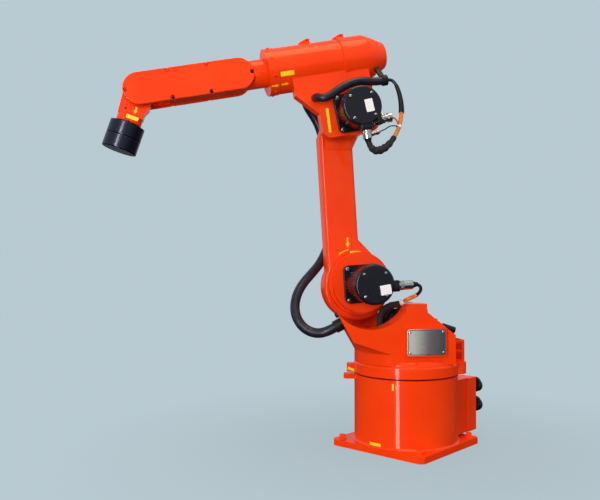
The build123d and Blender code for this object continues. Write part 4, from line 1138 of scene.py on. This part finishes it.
studio, tree, place = start("studio_floor")
matte = add(tree, "ShaderNodeBsdfDiffuse", {"Color": colour("77838a")})
glow = add(tree, "ShaderNodeEmission", {"Color": colour(STUDIO), "Strength": 1.0})
reach = add(tree, "ShaderNodeVectorMath", {"operation": "LENGTH"}, {0: (place, "Object")})
round_foot = {"From Min": 0.25, "From Max": 1.1, "To Min": 0.8, "To Max": 1.0}
share = add(tree, "ShaderNodeMapRange", round_foot, {"Value": (reach, "Value")})
both = {0: (share, "Result"), 1: (looked_at(tree), "Value")}
glowing = add(tree, "ShaderNodeMath", {"operation": "MULTIPLY"}, both)
layers = {0: (glowing, "Value"), 1: (matte, "BSDF"), 2: (glow, "Emission")}
mixed = add(tree, "ShaderNodeMixShader", {}, layers)
add(tree, "ShaderNodeOutputMaterial", links={"Surface": (mixed, "Shader")})
floor = finish_piece(floor_shape, "studio_floor", studio, shift(0, 0, -0.5))
floor.visible_glossy = False
print("floor", [round(v, 1) for v in floor.dimensions])

# %% [markdown]
# ## World
#
# The world lights the arm with a warm, even glow. The camera sees the cool studio grey instead, and so
# does a reflection that looks level or up. One that looks down meets a dark floor, so that the
# undersides of glossy castings turn dark.

# %% World
world = bpy.data.worlds.new("studio")
bpy.context.scene.world = world
world.use_nodes = True
tree = world.node_tree
tree.nodes.clear()
ambient = add(tree, "ShaderNodeBackground", {"Color": colour("efe7de"), "Strength": 0.96})
way = add(tree, "ShaderNodeTexCoord")
split = add(tree, "ShaderNodeSeparateXYZ", links={0: (way, "Generated")})
level = add(tree, "ShaderNodeMapRange", {"From Min": -0.09, "From Max": -0.03}, {"Value": (split, "Z")})
rays = add(tree, "ShaderNodeLightPath")
either = {0: (level, "Result"), 1: (rays, "Is Camera Ray")}
plain = add(tree, "ShaderNodeMath", {"operation": "MAXIMUM"}, either)
tones = [(0.0, "2a2c30"), (1.0, STUDIO)]
mirrored = add(tree, "ShaderNodeValToRGB", {"stops": tones}, {"Fac": (plain, "Value")})
backdrop = add(tree, "ShaderNodeBackground", {"Strength": 1.0}, {"Color": (mirrored, "Color")})
layers = {0: (looked_at(tree), "Value"), 1: (ambient, "Background"), 2: (backdrop, "Background")}
mixed = add(tree, "ShaderNodeMixShader", {}, layers)
add(tree, "ShaderNodeOutputWorld", links={"Surface": (mixed, "Shader")})
bpy.context.scene.view_settings.view_transform = "Standard"
print("world nodes", len(tree.nodes))

# %% [markdown]
# ## Lamps
#
# A broad, warm light overhead and a tall strip at the left give the long vertical highlights that glossy
# enamel shows. The strip's lower end hangs below floor level, so that its streak runs down to the drum's
# foot. No lamp stands where the flat near faces would mirror it.


# %% Lamps
def softbox(name, place, aim, width, height, power, tint="ffffff"):
    data = bpy.data.lights.new(name, "AREA")
    data.shape = "RECTANGLE"
    data.size, data.size_y = width, height
    data.energy = power
    data.color = colour(tint)[:3]
    lamp = bpy.data.objects.new(name, data)
    aimed = (Vector(aim) - Vector(place)).to_track_quat("-Z", "Y")
    lamp.matrix_world = Matrix.Translation(Vector(place)) @ aimed.to_matrix().to_4x4()
    bpy.context.scene.collection.objects.link(lamp)
    print(name, power, "W")


softbox("overhead", (0.4, 0.3, 3.0), (0.1, 0, 0.6), 1.2, 1.2, 27, "ffd49a")
softbox("left_strip", (3.0, 0.9, 0.35), (0, 0, 0.35), 0.4, 3.1, 90)
